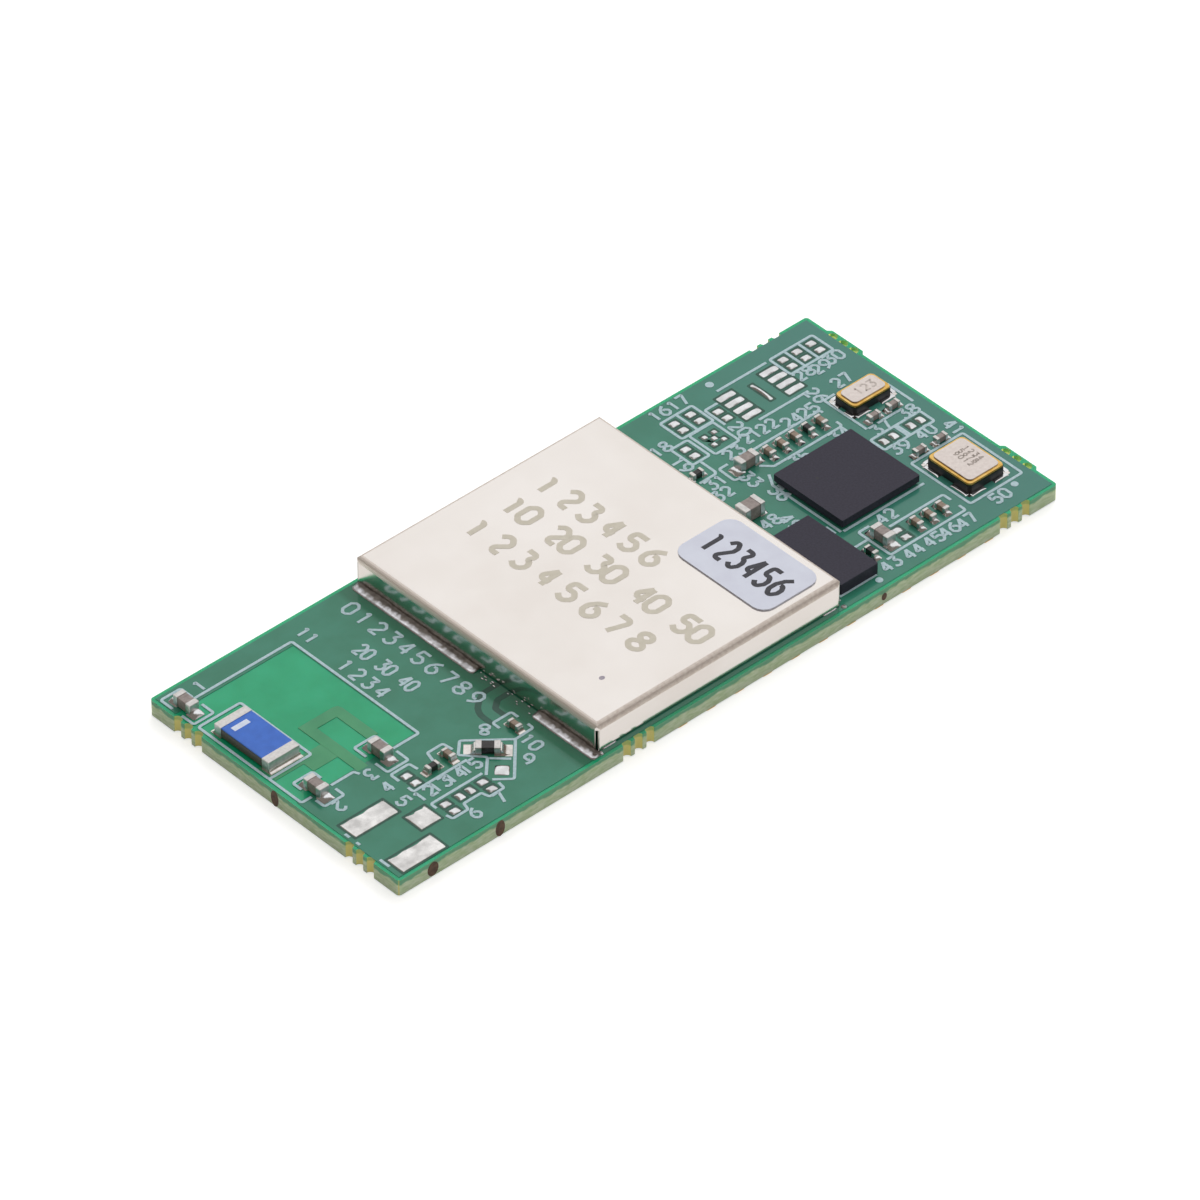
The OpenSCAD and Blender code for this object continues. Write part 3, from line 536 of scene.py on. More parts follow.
def plate(name, outlines, low, thick, surface):
    """A thin plate from closed outlines in mm, from the height low."""
    curve = bpy.data.curves.new(name, "CURVE")
    curve.dimensions = "2D"
    curve.fill_mode = "BOTH"
    curve.extrude = thick / 2
    for outline in outlines:
        spline = curve.splines.new("POLY")
        spline.points.add(len(outline) - 1)
        spline.use_cyclic_u = True
        for point, (x, y) in zip(spline.points, outline):
            point.co = (x, y, 0, 1)
    carrier = bpy.data.objects.new(name + "_outline", curve)
    mesh = bpy.data.meshes.new_from_object(carrier)
    bpy.data.objects.remove(carrier)
    mesh.transform(Matrix.Scale(MM, 4) @ Matrix.Translation((0, 0, low + thick / 2)))
    return place_piece(name, mesh, surface)


def rounded(x0, y0, x1, y1, radius, steps=5):
    """A rectangle with round corners, as a closed outline in mm."""
    outline = []
    left, right, near, far = x0 + radius, x1 - radius, y0 + radius, y1 - radius
    for quarter, (x, y) in enumerate(((right, far), (left, far), (left, near), (right, near))):
        for step in range(steps + 1):
            angle = pi / 2 * (quarter + step / steps)
            outline.append((x + radius * cos(angle), y + radius * sin(angle)))
    return outline


def oval(x, y, across, along):
    """A closed oval outline in mm, from its centre and its two radii."""
    return [(x + across * cos(pi * k / 8), y + along * sin(pi * k / 8)) for k in range(16)]


# %% [markdown]
# The outer copper covers nearly the whole top as one ground sheet. It stops short of the milled edges,
# and it leaves the antenna's corner free, since copper there would silence the antenna. Under the mask it
# shows as a greyer green with a soft step at its rim. In the free corner lie only the antenna's feed and
# its tuning loop, which are copper too.
# %% Ground copper and the antenna's tuning loop
copper_rim = 0.16
copper_height = 0.018
cover_top = board_top + copper_height
left_end, right_end = board[0], -board[0]
antenna_joints = solids("antenna_joints")
antenna_near, antenna_far = antenna_joints[0], antenna_joints[1]
clear_right = antenna_near[3] + 4.06
clear_near = antenna_near[1] - 1.87
clear_far = antenna_far[4] + 1.71
ground_outline = [
    (left_end + copper_rim, half_width - copper_rim),
    (right_end - copper_rim, half_width - copper_rim),
    (right_end - copper_rim, copper_rim - half_width),
    (left_end + copper_rim, copper_rim - half_width),
    (left_end + copper_rim, clear_near),
    (clear_right, clear_near),
    (clear_right, clear_far),
    (left_end + copper_rim, clear_far),
]
plate("ground_copper", [ground_outline], board_top, copper_height, mask_on_copper)

loop_left, loop_near, loop_far = antenna_near[3] + 0.95, clear_near - 0.2, antenna_near[4] + 0.85
leg, loop_right = 0.52, antenna_near[3] + 3.0
tuning_loop = [
    (loop_left, loop_near),
    (loop_left, loop_far),
    (loop_right - 0.25, loop_far),
    (loop_right - 0.07, loop_far - 0.07),
    (loop_right, loop_far - 0.25),
    (loop_right, clear_near + 0.95),
    (loop_right - leg, clear_near + 0.95),
    (loop_right - leg, loop_far - leg),
    (loop_left + leg, loop_far - leg),
    (loop_left + leg, loop_near),
]
feed = [
    (antenna_near[0] - 0.06, antenna_near[1] - 0.32),
    (antenna_near[3] - 0.28, antenna_near[1] - 0.32),
    (antenna_near[3] - 0.28, antenna_near[1] - 0.89),
    (loop_left + 0.05, antenna_near[1] - 0.89),
    (loop_left + 0.05, antenna_near[1] + 0.11),
    (antenna_near[3] - 0.28, antenna_near[1] + 0.11),
    (antenna_near[3] - 0.28, antenna_near[4] + 0.1),
    (antenna_near[0] - 0.06, antenna_near[4] + 0.1),
]
mask_on_loop = finish("solder_mask_on_loop_copper", ("#3b8f62", "#45996a"), 1.2, 0.003, 0.13).surface
plate("tuning_loop", [tuning_loop], board_top, copper_height + 0.003, mask_on_loop)
plate("antenna_feed", [feed], board_top, copper_height - 0.003, mask_on_loop)

# %% [markdown]
# Lines of copper and of legend ink both follow paths, so one Geometry Nodes tree draws them all. It
# rounds each path's corners, as a printed or etched line has them, and sweeps a flat section of a given
# width and height along it. The tree is built here once, and each use sets its own sizes.
# %% Tree for printed lines
line_tree = bpy.data.node_groups.new("line_along_path", "GeometryNodeTree")
line_tree.interface.new_socket("Geometry", in_out="INPUT", socket_type="NodeSocketGeometry")
for label, start in (("Width", 0.12), ("Height", 0.01), ("Corner radius", 0.08)):
    line_tree.interface.new_socket(label, in_out="INPUT", socket_type="NodeSocketFloat").default_value = start
line_tree.interface.new_socket("Finish", in_out="INPUT", socket_type="NodeSocketMaterial")
line_tree.interface.new_socket("Geometry", in_out="OUTPUT", socket_type="NodeSocketGeometry")
given = add(line_tree, "NodeGroupInput").outputs
round_path = add(
    line_tree,
    "GeometryNodeFilletCurve",
    {"Curve": given["Geometry"], "Count": 4, "Radius": given["Corner radius"], "Limit Radius": True},
    mode="POLY",
)
level_path = add(line_tree, "GeometryNodeSetCurveNormal", {"Curve": round_path.outputs[0]}, mode="Z_UP")
section = add(
    line_tree,
    "GeometryNodeCurvePrimitiveQuadrilateral",
    {"Width": given["Width"], "Height": given["Height"]},
    mode="RECTANGLE",
)
swept = add(
    line_tree,
    "GeometryNodeCurveToMesh",
    {"Curve": level_path.outputs[0], "Profile Curve": section.outputs[0], "Fill Caps": True},
)
real_lines = add(line_tree, "GeometryNodeRealizeInstances", {"Geometry": swept.outputs[0]})
inked = add(
    line_tree, "GeometryNodeSetMaterial", {"Geometry": real_lines.outputs[0], "Material": given["Finish"]}
)
add(line_tree, "NodeGroupOutput", {"Geometry": inked.outputs[0]})
print("the line tree takes", [item.name for item in line_tree.interface.items_tree])

# %% [markdown]
# Each set of lines is a curve object with one straight-sided spline per path. The tree runs on it as a
# modifier, the evaluated result is kept as a plain mesh, and the curve is thrown away. Where paths cross,
# equal heights would make their tops fight, so each next path lies a hair higher. The faces are shaded
# flat, because smooth ones would make a thin print look embossed.
# %% Draw lines along paths
step_up, level_count = 0.0008, 5


def lines(name, paths, low, sizes, surface):
    """Lines of one width and height in mm along paths in mm; a path that ends where it starts is closed."""
    width, thick, corner = sizes
    curve = bpy.data.curves.new(name, "CURVE")
    curve.dimensions = "3D"
    for count, path in enumerate(paths):
        closed = len(path) > 2 and path[0] == path[-1]
        points = path[:-1] if closed else path
        spline = curve.splines.new("POLY")
        spline.points.add(len(points) - 1)
        spline.use_cyclic_u = closed
        for point, (x, y) in zip(spline.points, points):
            point.co = (x, y, low + thick / 2 + count % level_count * step_up, 1)
    carrier = bpy.data.objects.new(name + "_paths", curve)
    bpy.context.scene.collection.objects.link(carrier)
    modifier = carrier.modifiers.new("line_along_path", "NODES")
    modifier.node_group = line_tree
    values = {"Width": width, "Height": thick, "Corner radius": corner, "Finish": surface}
    for item in line_tree.interface.items_tree:
        if item.name in values:
            modifier[item.identifier] = values[item.name]
    evaluated = carrier.evaluated_get(bpy.context.evaluated_depsgraph_get())
    mesh = bpy.data.meshes.new_from_object(evaluated)
    carrier.modifiers.remove(modifier)
    bpy.data.objects.remove(carrier)
    mesh.transform(Matrix.Scale(MM, 4))
    mesh.shade_flat()
    return place_piece(name, mesh, surface)


print("paths lie on", level_count, "levels,", step_up, "mm apart")

# %% [markdown]
# Most legend outlines are rectangles round the parts that they belong to, or the brackets at two of its
# ends, so three small functions turn the boxes of parts into such paths.
# %% Rectangles and brackets as paths


def frame_of(boxes, margin, drift=(0, 0)):
    """The rectangle round some boxes, grown by a margin and moved by a drift, as (x0, y0, x1, y1)."""
    grow_x, grow_y = margin
    x0 = min(each[0] for each in boxes) - grow_x + drift[0]
    y0 = min(each[1] for each in boxes) - grow_y + drift[1]
    x1 = max(each[3] for each in boxes) + grow_x + drift[0]
    y1 = max(each[4] for each in boxes) + grow_y + drift[1]
    return x0, y0, x1, y1


def loop(x0, y0, x1, y1):
    """A closed rectangle as a path."""
    return [(x0, y0), (x1, y0), (x1, y1), (x0, y1), (x0, y0)]


def brackets(x0, y0, x1, y1, leg):
    """Two facing brackets at the near and far ends of a rectangle, as two paths."""
    near = [(x0, y0 + leg), (x0, y0), (x1, y0), (x1, y0 + leg)]
    far = [(x0, y1 - leg), (x0, y1), (x1, y1), (x1, y1 - leg)]
    return [near, far]


print("a frame round the board is", frame_of([board], (0, 0)))

# %% [markdown]
# Round every pad, and on both sides of the antenna's signal trace, the copper is etched away, and the mask
# sinks into the gap. Its dark tone there is painted shade at the step of the gap. The gap round a pad is a
# plate with a hole, so nothing lies hidden under the pad. The trace is a green line again on top of its own
# dark band of painted shade.
# %% Gaps in the copper
gap_margin, gap_height = 0.09, 0.004
gap_width, trace_width, trace_corner = 0.95, 0.42, 0.55
turned_pad = solids("matching_pads")[-1]
pad_boxes = [each for name in pad_nodes for each in solids(name) if each != turned_pad]
gap_outlines = []
for x0, y0, _, x1, y1, _ in pad_boxes:
    for grow, radius in ((gap_margin, 0.06), (-0.02, 0.03)):
        gap_outlines.append(rounded(x0 - grow, y0 - grow, x1 + grow, y1 + grow, radius, 2))
plate("pad_gaps", gap_outlines, cover_top, gap_height, gap_mask_painted_shade)
trace_x, trace_y = can[0] - 1.47, can[1] + 3.95
trace = [
    (trace_x, trace_y),
    (trace_x, trace_y + 0.8),
    (trace_x + 0.65, trace_y + 1.3),
    (can[0] + 0.1, trace_y + 1.3),
]
trace_top = cover_top + gap_height
lines("trace_gap", [trace], cover_top, (gap_width, gap_height, trace_corner), gap_mask_painted_shade)
lines("trace_copper", [trace], trace_top, (trace_width, gap_height, trace_corner), mask_on_copper)

# %% [markdown]
# The empty pads carry a pillow of solder each. Molten tin pulls itself into a shallow dome with steep
# rims, and those rims mirror the dim room, which draws the dark line round every pad. Each dome is a grid
# whose points crowd towards the rims, where the surface turns fastest, and a short wall goes down to the
# pad. Slight ripples keep two pillows from looking alike.
# %% One pillow of solder
grid_steps = 10
wall_height = 0.02


def pillow(build, size, shape, number, turn):
    """A domed pad over a box in mm; shape gives crown, flatness, waviness and rounding of corners."""
    x0, y0, low, x1, y1, _ = size
    crown, flatness, wavy, round_off = shape
    middle_x, middle_y, half_x, half_y = (x0 + x1) / 2, (y0 + y1) / 2, (x1 - x0) / 2, (y1 - y0) / 2
    if turn:
        half_x = half_y = 1.3 * half_x / (cos(turn) + sin(turn))
    rows = []
    for i in range(grid_steps + 1):
        row = []
        for j in range(grid_steps + 1):
            u, v = sin(pi / 2 * (2 * i / grid_steps - 1)), sin(pi / 2 * (2 * j / grid_steps - 1))
            pull = 1 - round_off * (u * v) ** 4
            ripple = wavy * max(v, 0) * (0.6 + 0.4 * sin(7 * u + 2 * number)) * (1 - u**4)
            x, y = u * half_x * pull, v * half_y * (pull - ripple)
            swell = crown * (1 - abs(u) ** flatness) * (1 - abs(v) ** flatness)
            swell *= 1 + 0.12 * sin(4 * u + number) * sin(3 * v + 2 * number)
            spot = (middle_x + x * cos(turn) - y * sin(turn), middle_y + x * sin(turn) + y * cos(turn))
            row.append(build.verts.new((spot[0], spot[1], low + wall_height + swell)))
        rows.append(row)
    for i in range(grid_steps):
        for j in range(grid_steps):
            build.faces.new((rows[i][j], rows[i + 1][j], rows[i + 1][j + 1], rows[i][j + 1]))
    rim = [row[0] for row in rows] + rows[-1][1:]
    rim += [row[-1] for row in rows[-2::-1]] + rows[0][-2:0:-1]
    foot = [build.verts.new((vert.co.x, vert.co.y, low)) for vert in rim]
    for k, vert in enumerate(rim):
        build.faces.new((vert, foot[k], foot[(k + 1) % len(rim)], rim[(k + 1) % len(rim)]))
    build.faces.new(foot)


print("a pillow has", grid_steps * (grid_steps + 4), "small faces and a flat foot")

# %% [markdown]
# One piece holds all the pillows of a kind and stands for the flat pads of the CAD model. Most pillows
# are smooth. Those on the long connector pads look wiped: they are flatter, with an uneven edge and a
# duller, streaky finish. One square pad stands turned by 45 degrees.
# %% Pillows on the empty pads
pooled_tin = finish("pooled_tin_on_pad", ("#d3d3d4", "#e9eaec"), 0.5, 0.002, 0.16, 1.0).surface
wiped_tin = finish("wiped_tin_on_pad", ("#c6c4c2", "#f0eeec"), 0.6, 0.006, 0.25, 1.0).surface


def pillows(name, boxes, shape, replaced=None, turn=0.0, surface=pooled_tin):
    """A piece with one pillow on each box, which stands for a CAD node."""
    build = bmesh.new()
    for number, size in enumerate(boxes):
        pillow(build, size, shape, number, turn)
    piece = place_build(name, build, surface, 5)
    if replaced:
        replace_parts(piece, replaced)


small_pad = (0.09, 2.4, 0.0, 0.13)
pillows("option_pillows", solids("option_pads"), small_pad, "option_pads")
pillows("sensor_pillows", solids("sensor_pads"), (0.06, 3, 0.0, 0.13), "sensor_pads")
connector_pad = (0.055, 12, 0.2, 0.02)
pillows("connector_pillows", solids("connector_pads"), connector_pad, "connector_pads", surface=wiped_tin)
pillows("expansion_pillows", solids("expansion_pads"), (0.1, 2.2, 0.0, 0.1), "expansion_pads")
pillows("matching_pillows", solids("matching_pads")[:-1], small_pad, "matching_pads")
pillows("turned_pillow", [turned_pad], (0.07, 4, 0.0, 0.1), turn=pi / 4)

# %% [markdown]
# Solder joins the can to the board. Outside the walls it shows as fillets that climb the sheet with a
# ragged upper edge and thin out to a bright toe. Each fillet follows the straight foot of a wall: a hollow
# section is repeated along it, and a seeded random walk varies how far it climbs and how far it spreads.
# %% One fillet along a wall
fillet_step = 0.12
toe_height = 0.045


def fillet_section(sheet_depth, bond, spread, rise):
    """The outline of a fillet as (out, up) in mm: under the sheet, up its wall, and down a hollow curve."""
    section = [(-sheet_depth, 0), (-sheet_depth, bond), (0, bond), (0.004, max(rise, bond + 0.01))]
    for t in (0.25, 0.5, 0.75):
        near_wall, near_board = (1 - t) ** 2, t * t
        section.append(
            (near_wall * 0.02 + 2 * t * (1 - t) * 0.3 * spread + near_board * spread * 0.97,
             near_wall * rise + 2 * t * (1 - t) * 0.3 * rise + near_board * 0.05)
        )
    return section + [(spread, toe_height), (spread * 1.01, 0)]


def fillet(build, start, end, outward, sizes, rng):
    """A fillet from start to end along a wall's foot, in mm, that spreads outward by its toe and climbs."""
    sheet_depth, bond, toe, climb, rag = sizes
    run = Vector(end) - Vector(start)
    count = max(4, int(run.length / fillet_step))
    rings = []
    sway, lift = 0.0, 0.0
    for k in range(count + 1):
        sway = 0.7 * sway + rng.uniform(-0.5, 0.5) * rag
        lift = 0.5 * lift + rng.uniform(-0.8, 0.8) * rag
        ease = 0.8 if k in (0, count) else 1
        foot = Vector(start) + run * (k / count)
        spread, rise = toe * (0.97 + 0.12 * sway) * ease, climb * (1 + lift) * ease
        ring = []
        for out, up in fillet_section(sheet_depth, bond, spread, rise):
            spot = foot + Vector(outward) * out
            ring.append(build.verts.new((spot.x, spot.y, board_top + up)))
        rings.append(ring)
    skin(build, rings)
    build.faces.new(rings[0])
    build.faces.new(rings[-1])


print("a fillet's section has", len(fillet_section(0.15, 0.035, 0.4, 0.2)), "points")

# %% [markdown]
# Spatter and the drops at the can's corners are flat-bottomed beads, each a few rings that close in a
# point. A low bead needs only three rings, since it is far smaller than the fillets beside it.
# %% One bead
bead_sides, bead_rings = 10, 3


def bead(build, x, y, low, radii):
    """A low drop of solder, flat below."""
    rings = []
    for level in range(bead_rings):
        angle = pi / 2 * level / bead_rings
        ring = []
        for k in range(bead_sides):
            around = 2 * pi * k / bead_sides
            ring.append(build.verts.new((
                x + radii[0] * cos(angle) * cos(around),
                y + radii[1] * cos(angle) * sin(around),
                low + radii[2] * sin(angle),
            )))
        rings.append(ring)
    top = build.verts.new((x, y, low + radii[2]))
    skin(build, rings)
    for k in range(bead_sides):
        build.faces.new((rings[-1][k], rings[-1][(k + 1) % bead_sides], top))
    build.faces.new(rings[0])


print("a bead has", bead_sides * bead_rings + 1, "faces")

# %% [markdown]
# The CAD model's solder strips say where each fillet runs and how far it reaches. The strips along the
# short walls show a wide toe, those along the long walls hardly show, and the small ones are the drops at
# the near corners. The random numbers come from one seed, so every run gives the same solder.
# %% Solder round the can
seat = (0.15, 0.035)
rng = Random(4)
bonds = bmesh.new()
for x0, y0, low, x1, y1, high in solids("shield_solder"):
    if max(x1 - x0, y1 - y0) < 0.4:
        bead(bonds, (x0 + x1) / 2, (y0 + y1) / 2, low, ((x1 - x0) / 2, (y1 - y0) / 2, min(high - low, 0.085)))
    elif x1 - x0 > y1 - y0:
        wall_y, outward = (can[1], -1) if y0 < 0 else (can[4], 1)
        fillet(bonds, (x0, wall_y), (x1, wall_y), (0, outward), (*seat, 0.04, 0.06, 0.2), rng)
    else:
        wall_x, outward, toe = (can[0], -1, can[0] - x0 - 0.01) if x0 < 0 else (can[3], 1, x1 - can[3] - 0.01)
        fillet(bonds, (wall_x, y0), (wall_x, y1), (outward, 0), (*seat, toe, high - low, 0.22), rng)
spatter_from, spatter_to = can[1] + 3.35, can[1] + 6.6
for k in range(14):
    spot_y = rng.uniform(spatter_from, spatter_to)
    size = rng.uniform(0.02, 0.05)
    bead(bonds, can[0] - rng.uniform(0.06, 0.36), spot_y, cover_top, (size, size * 2.2, size))
for size, drift_x, drift_y in ((0.16, -0.1, -0.05), (0.11, 0.08, -0.14), (0.07, -0.28, 0.1)):
    bead(bonds, can[0] + drift_x, can[1] + drift_y, cover_top, (size, size, size * 0.7))
print("the solder round the can has", len(bonds.faces), "faces")

# %% [markdown]
# A brown crust of flux covers the upper part of the slope, while the toe is clean and bright. The crust
# starts at a height that a noise makes ragged, and it is duller than tin.
# %% Flux-stained solder
stained = finish("flux_stained_solder", ("#c9c8cc", "#e9e8ec"), 0.3, 0.003, 0.3, 1.0)
tree, shader = stained.tree, stained.shader
crust_from, crust_full = board_top + 0.1, board_top + 0.15
level = add(tree, "ShaderNodeSeparateXYZ", {0: stained.place}).outputs["Z"]
blot = add(
    tree, "ShaderNodeTexNoise", {"Vector": stained.place, "Scale": 1 / (0.2 * MM), "Detail": 3.0}
).outputs[0]
ragged = add(tree, "ShaderNodeMath", {0: blot, 1: 0.1 * MM, 2: level}, operation="MULTIPLY_ADD").outputs[0]
stain = add(tree, "ShaderNodeMapRange", {0: ragged, 1: crust_from * MM, 2: crust_full * MM}).outputs[0]
crust = add(tree, "ShaderNodeMix", {0: blot, 6: "#332c27", 7: "#99918a"}, data_type="RGBA").outputs[2]
colour = add(tree, "ShaderNodeMix", {0: stain, 6: stained.tone, 7: crust}, data_type="RGBA").outputs[2]
dull = add(tree, "ShaderNodeMapRange", {0: stain, 3: 0.25, 4: 0.5}).outputs[0]
tree.links.new(colour, shader.inputs["Base Color"])
tree.links.new(dull, shader.inputs["Roughness"])
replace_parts(place_build("shield_bonds", bonds, stained.surface, 5), "shield_solder")

# %% [markdown]
# At the end of each chip the solder swells out of the pad and catches the light in one bright spot with
# a dark ring. The same pillows stand for the simpler joints of the CAD model, with a higher crown.
# %% Solder at the ends of the chips
joint_crowns = {"bypass_capacitor": 0.15, "load_capacitor": 0.13, "option_resistor": 0.13}
joint_crowns |= {"supply_capacitor": 0.2, "antenna_capacitor": 0.22}
for chip_kind, crown in joint_crowns.items():
    joints = chip_kind + "_joints"
    pillows(chip_kind + "_solder", solids(joints), (crown, 2.5, 0.0, 0.12), joints)
print("made the solder of", len(joint_crowns), "kinds of chip")

# %% [markdown]
# A crystal's lid is welded on a gilt ring that stands out round it as a bright rounded band. Ring and lid
# are stacks of rounded outlines joined level by level; each level has its own inset and height. They
# stand for the square-edged CAD ones.
# %% Crystal rings and lids


def stacked(name, size, levels, radius, surface):
    """A solid through rounded outlines of a box in mm; levels are (inset, height) from the bottom up."""
    x0, y0, _, x1, y1, _ = size
    build = bmesh.new()
    rings = []
    for inset, height in levels:
        outline = rounded(x0 + inset, y0 + inset, x1 - inset, y1 - inset, radius - 0.5 * inset)
        rings.append([build.verts.new((x, y, height)) for x, y in outline])
    skin(build, rings)
    build.faces.new(rings[0])
    build.faces.new(rings[-1])
    return place_build(name, build, surface)


for crystal in ("large_crystal", "small_crystal"):
    ring_box, lid_box = box(crystal + "_ring"), box(crystal + "_lid")
    low, high = ring_box[2], ring_box[5]
    band = [(0.04, low), (0.0, low + 0.03), (0.0, high - 0.05)]
    band += [(0.02, high - 0.02), (0.05, high - 0.005), (0.3, high)]
    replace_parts(stacked(crystal + "_band", ring_box, band, 0.22, gold), crystal + "_ring")
    low, high = lid_box[2], lid_box[5]
    cap = [(0.05, low), (0.05, high - 0.03), (0.06, high - 0.01), (0.09, high)]
    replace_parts(stacked(crystal + "_cap", lid_box, cap, 0.24, nickel), crystal + "_lid")

# %% [markdown]
# Tin shows as bright bars where the four lands of a crystal come out from under its base. They are more
# pillows, two to a land: one reaches out at the end of the base, and one at its side.
# %% Solder bars round the crystals
bar_reach, bar_overlap = 0.06, 0.01
bars = []
for crystal in ("large_crystal", "small_crystal"):
    base = box(crystal + "_base")
    for x0, y0, low, x1, y1, _ in solids(crystal + "_joints"):
        span_x, span_y = (base[3] - bar_overlap, x1 + bar_reach), (base[4] - bar_overlap, y1 + bar_reach)
        if x0 < base[0]:
            span_x = (x0 - bar_reach, base[0] + bar_overlap)
        if y0 < base[1]:
            span_y = (y0 - bar_reach, base[1] + bar_overlap)
        bars.append((span_x[0], max(y0, base[1]), low, span_x[1], min(y1, base[4]), 0))
        bars.append((max(x0, base[0]), span_y[0], low, min(x1, base[3]), span_y[1], 0))
pillows("crystal_solder_bars", bars, (0.045, 8, 0.0, 0.0))

# %% [markdown]
# Round every part the legend has an outline, so that a person who fits or checks the parts can see where
# each belongs. The outlines are worked out from the parts' own boxes, with the margin a board house
# prints. Short gaps and open ends are left where a pad or another line is near. The antenna's end first.
# %% Legend outlines at the antenna end
legend_height = 0.014
legend_line = (0.125, legend_height, 0.1)
legend_low = cover_top - 0.002
antenna_frame = frame_of(antenna_joints, (0.24, 0.3), (0.05, 0.2))
antenna_parts = solids("antenna_capacitor_joints")
first, second, third = (antenna_parts[start : start + 2] for start in (0, 2, 4))
first_frame = frame_of(first, (0.2, 0.18), (0.06, 0.02))
second_frame = frame_of(second, (0.19, 0.12), (0.13, 0.03))
third_frame = frame_of(third, (0.23, 0.17), (0.03, -0.02))
area_far, area_near = first_frame[3] - 0.8, second_frame[1] + 0.76
area_left, area_right = antenna_frame[0], clear_right + 0.1
legend = [
    loop(*antenna_frame),
    *brackets(*first_frame, 0.7),
    *brackets(*second_frame, 0.5),
    *brackets(*third_frame, 0.7),
    [(first_frame[2], area_far), (area_right, area_far), (area_right, area_near),
     (third_frame[2], area_near)],
    [(area_left, antenna_frame[1]), (area_left, area_near), (second_frame[0], area_near)],
    [(second_frame[2], area_near), (third_frame[0] - 0.95, area_near),
     (third_frame[0] - 0.85, area_near - 0.25)],
]
print("the antenna's outlines take", len(legend), "paths")

# %% [markdown]
# The tuning parts stand in two rows between the antenna and the can, so their outlines are drawn row by
# row. They share their ends, and a gap is left at every pad that reaches the line.
# %% Outlines of the tuning rows
tuning = solids("matching_pads")
row_left = tuning[0][0] - 0.2
row_right = tuning[7][3] + 0.22
row_far = tuning[3][4] + 0.3
row_near = tuning[2][1] - 0.17
legend += [
    [(row_left, row_far - 0.5), (row_left, row_far), (row_left + 0.95, row_far),
     (row_left + 1.0, row_far - 0.45)],
    [(row_right - 1.0, row_far - 0.5), (row_right - 0.85, row_far), (row_right - 0.05, row_far),
     (row_right, row_far - 0.5)],
    [(row_left, row_near + 0.32), (row_left, row_near), (row_right, row_near)],
]
low_far = tuning[1][4] + 0.22
low_near = tuning[0][1] - 0.12
legend += [
    [(row_left, low_far - 0.33), (row_left, low_far), (row_right - 0.1, low_far)],
    [(row_left, low_near + 0.32), (row_left + 0.05, low_near), (row_left + 0.85, low_near),
     (row_left + 0.95, low_near + 0.37), (row_right - 0.9, low_near + 0.37), (row_right - 0.8, low_near),
     (row_right - 0.05, low_near), (row_right, low_near + 0.37)],
]
print("with the tuning rows,", len(legend), "paths")

# %% [markdown]
# The turned resistor has slanted outlines, and the coupling part beside it a bracket at each end. Three
# ticks at the board's end finish this half of the legend, which is then made as one piece.
# %% Slanted outlines and ticks
turned = box("path_resistor_joints")
legend += [
    [(turned[0] - 0.1, turned[4] - 0.32), (turned[0] + 0.51, turned[4] + 0.28),
     (turned[3] + 0.3, turned[1] + 0.68), (turned[0] + 0.56, turned[1] - 1.02),
     (turned[0] - 0.09, turned[1] - 0.47)],
    [(turned[0] - 0.09, turned[4] - 0.32), (turned[0] + 0.66, turned[1] + 0.63),
     (turned[0] - 0.09, turned[1] - 0.12)],
    [(turned[0] + 0.66, turned[1] + 0.53), (turned[0] + 1.26, turned[1] - 0.07)],
]
coupler = solids("matching_capacitors")[-1]
legend += [
    [(coupler[0] - 0.32, coupler[4] + 0.11), (coupler[0] - 0.32, coupler[4] + 0.51),
     (coupler[3] + 0.39, coupler[4] + 0.51), (coupler[3] + 0.39, coupler[4] + 0.11)],
    [(coupler[0] - 0.3, coupler[1] - 0.23), (coupler[3] + 0.39, coupler[1] - 0.2),
     (coupler[3] + 0.39, coupler[1] + 0.12)],
]
for tick_y, reach in ((-3.97, 0.13), (-4.6, 0.1), (-6.12, 0.27)):
    legend.append([(left_end + 0.3, tick_y - reach), (left_end + 0.3, tick_y + reach)])
lines("legend_outlines", legend, legend_low, legend_line, legend_ink)

# %% [markdown]
# At the crystal end the outlines are denser: boxes shared by neighbouring pads, brackets round single
# parts, and a chamfered frame round the controller that shows which of its corners comes first.
# %% Shared boxes at the crystal end


def shared_box(boxes, margin, across=()):
    """An outline round some pads, with dividers at given shares of its length."""
    x0, y0, x1, y1 = frame_of(boxes, margin)
    paths = [loop(x0, y0, x1, y1)]
    for share in across:
        paths.append([(x0 + share * (x1 - x0), y0), (x0 + share * (x1 - x0), y1)])
    return paths


spare = solids("option_pads")
sensor = solids("sensor_pads")
rows = solids("expansion_pads")
legend = shared_box(spare[2:6], (0.21, 0.22), (0.5,))
legend += shared_box(spare[0:2], (0.25, 0.22))
legend += shared_box(sensor, (0.27, 0.38))
past_rows = [each for each in spare if each[0] > rows[-1][0]]
legend += shared_box([each for each in past_rows if each[1] > 0], (0.2, 0.2), (0.34, 0.66))
x0, y0, x1, y1 = frame_of([each for each in past_rows if each[1] < 0], (0.2, 0.2))
middle = (x0 + x1) / 2
legend += [loop(x0, y0 - 0.02, x1, y1)]
legend += [[(across, y0), (across, y1)] for across in (middle - 0.06, middle + 0.06)]
x0, y0, x1, y1 = frame_of(spare[6:8], (0.14, 0.25))
legend += [[(x0, y0 + 0.15), (x0, y1), (x1, y1)]]
x0, y0, x1, y1 = frame_of(rows, (0.3, 0.32))
legend += [[(x0 + 0.7, y1), (x1 - 0.45, y1)], [(x0 + 0.7, y0), (x1 - 0.45, y0)]]
print("the shared boxes take", len(legend), "paths")

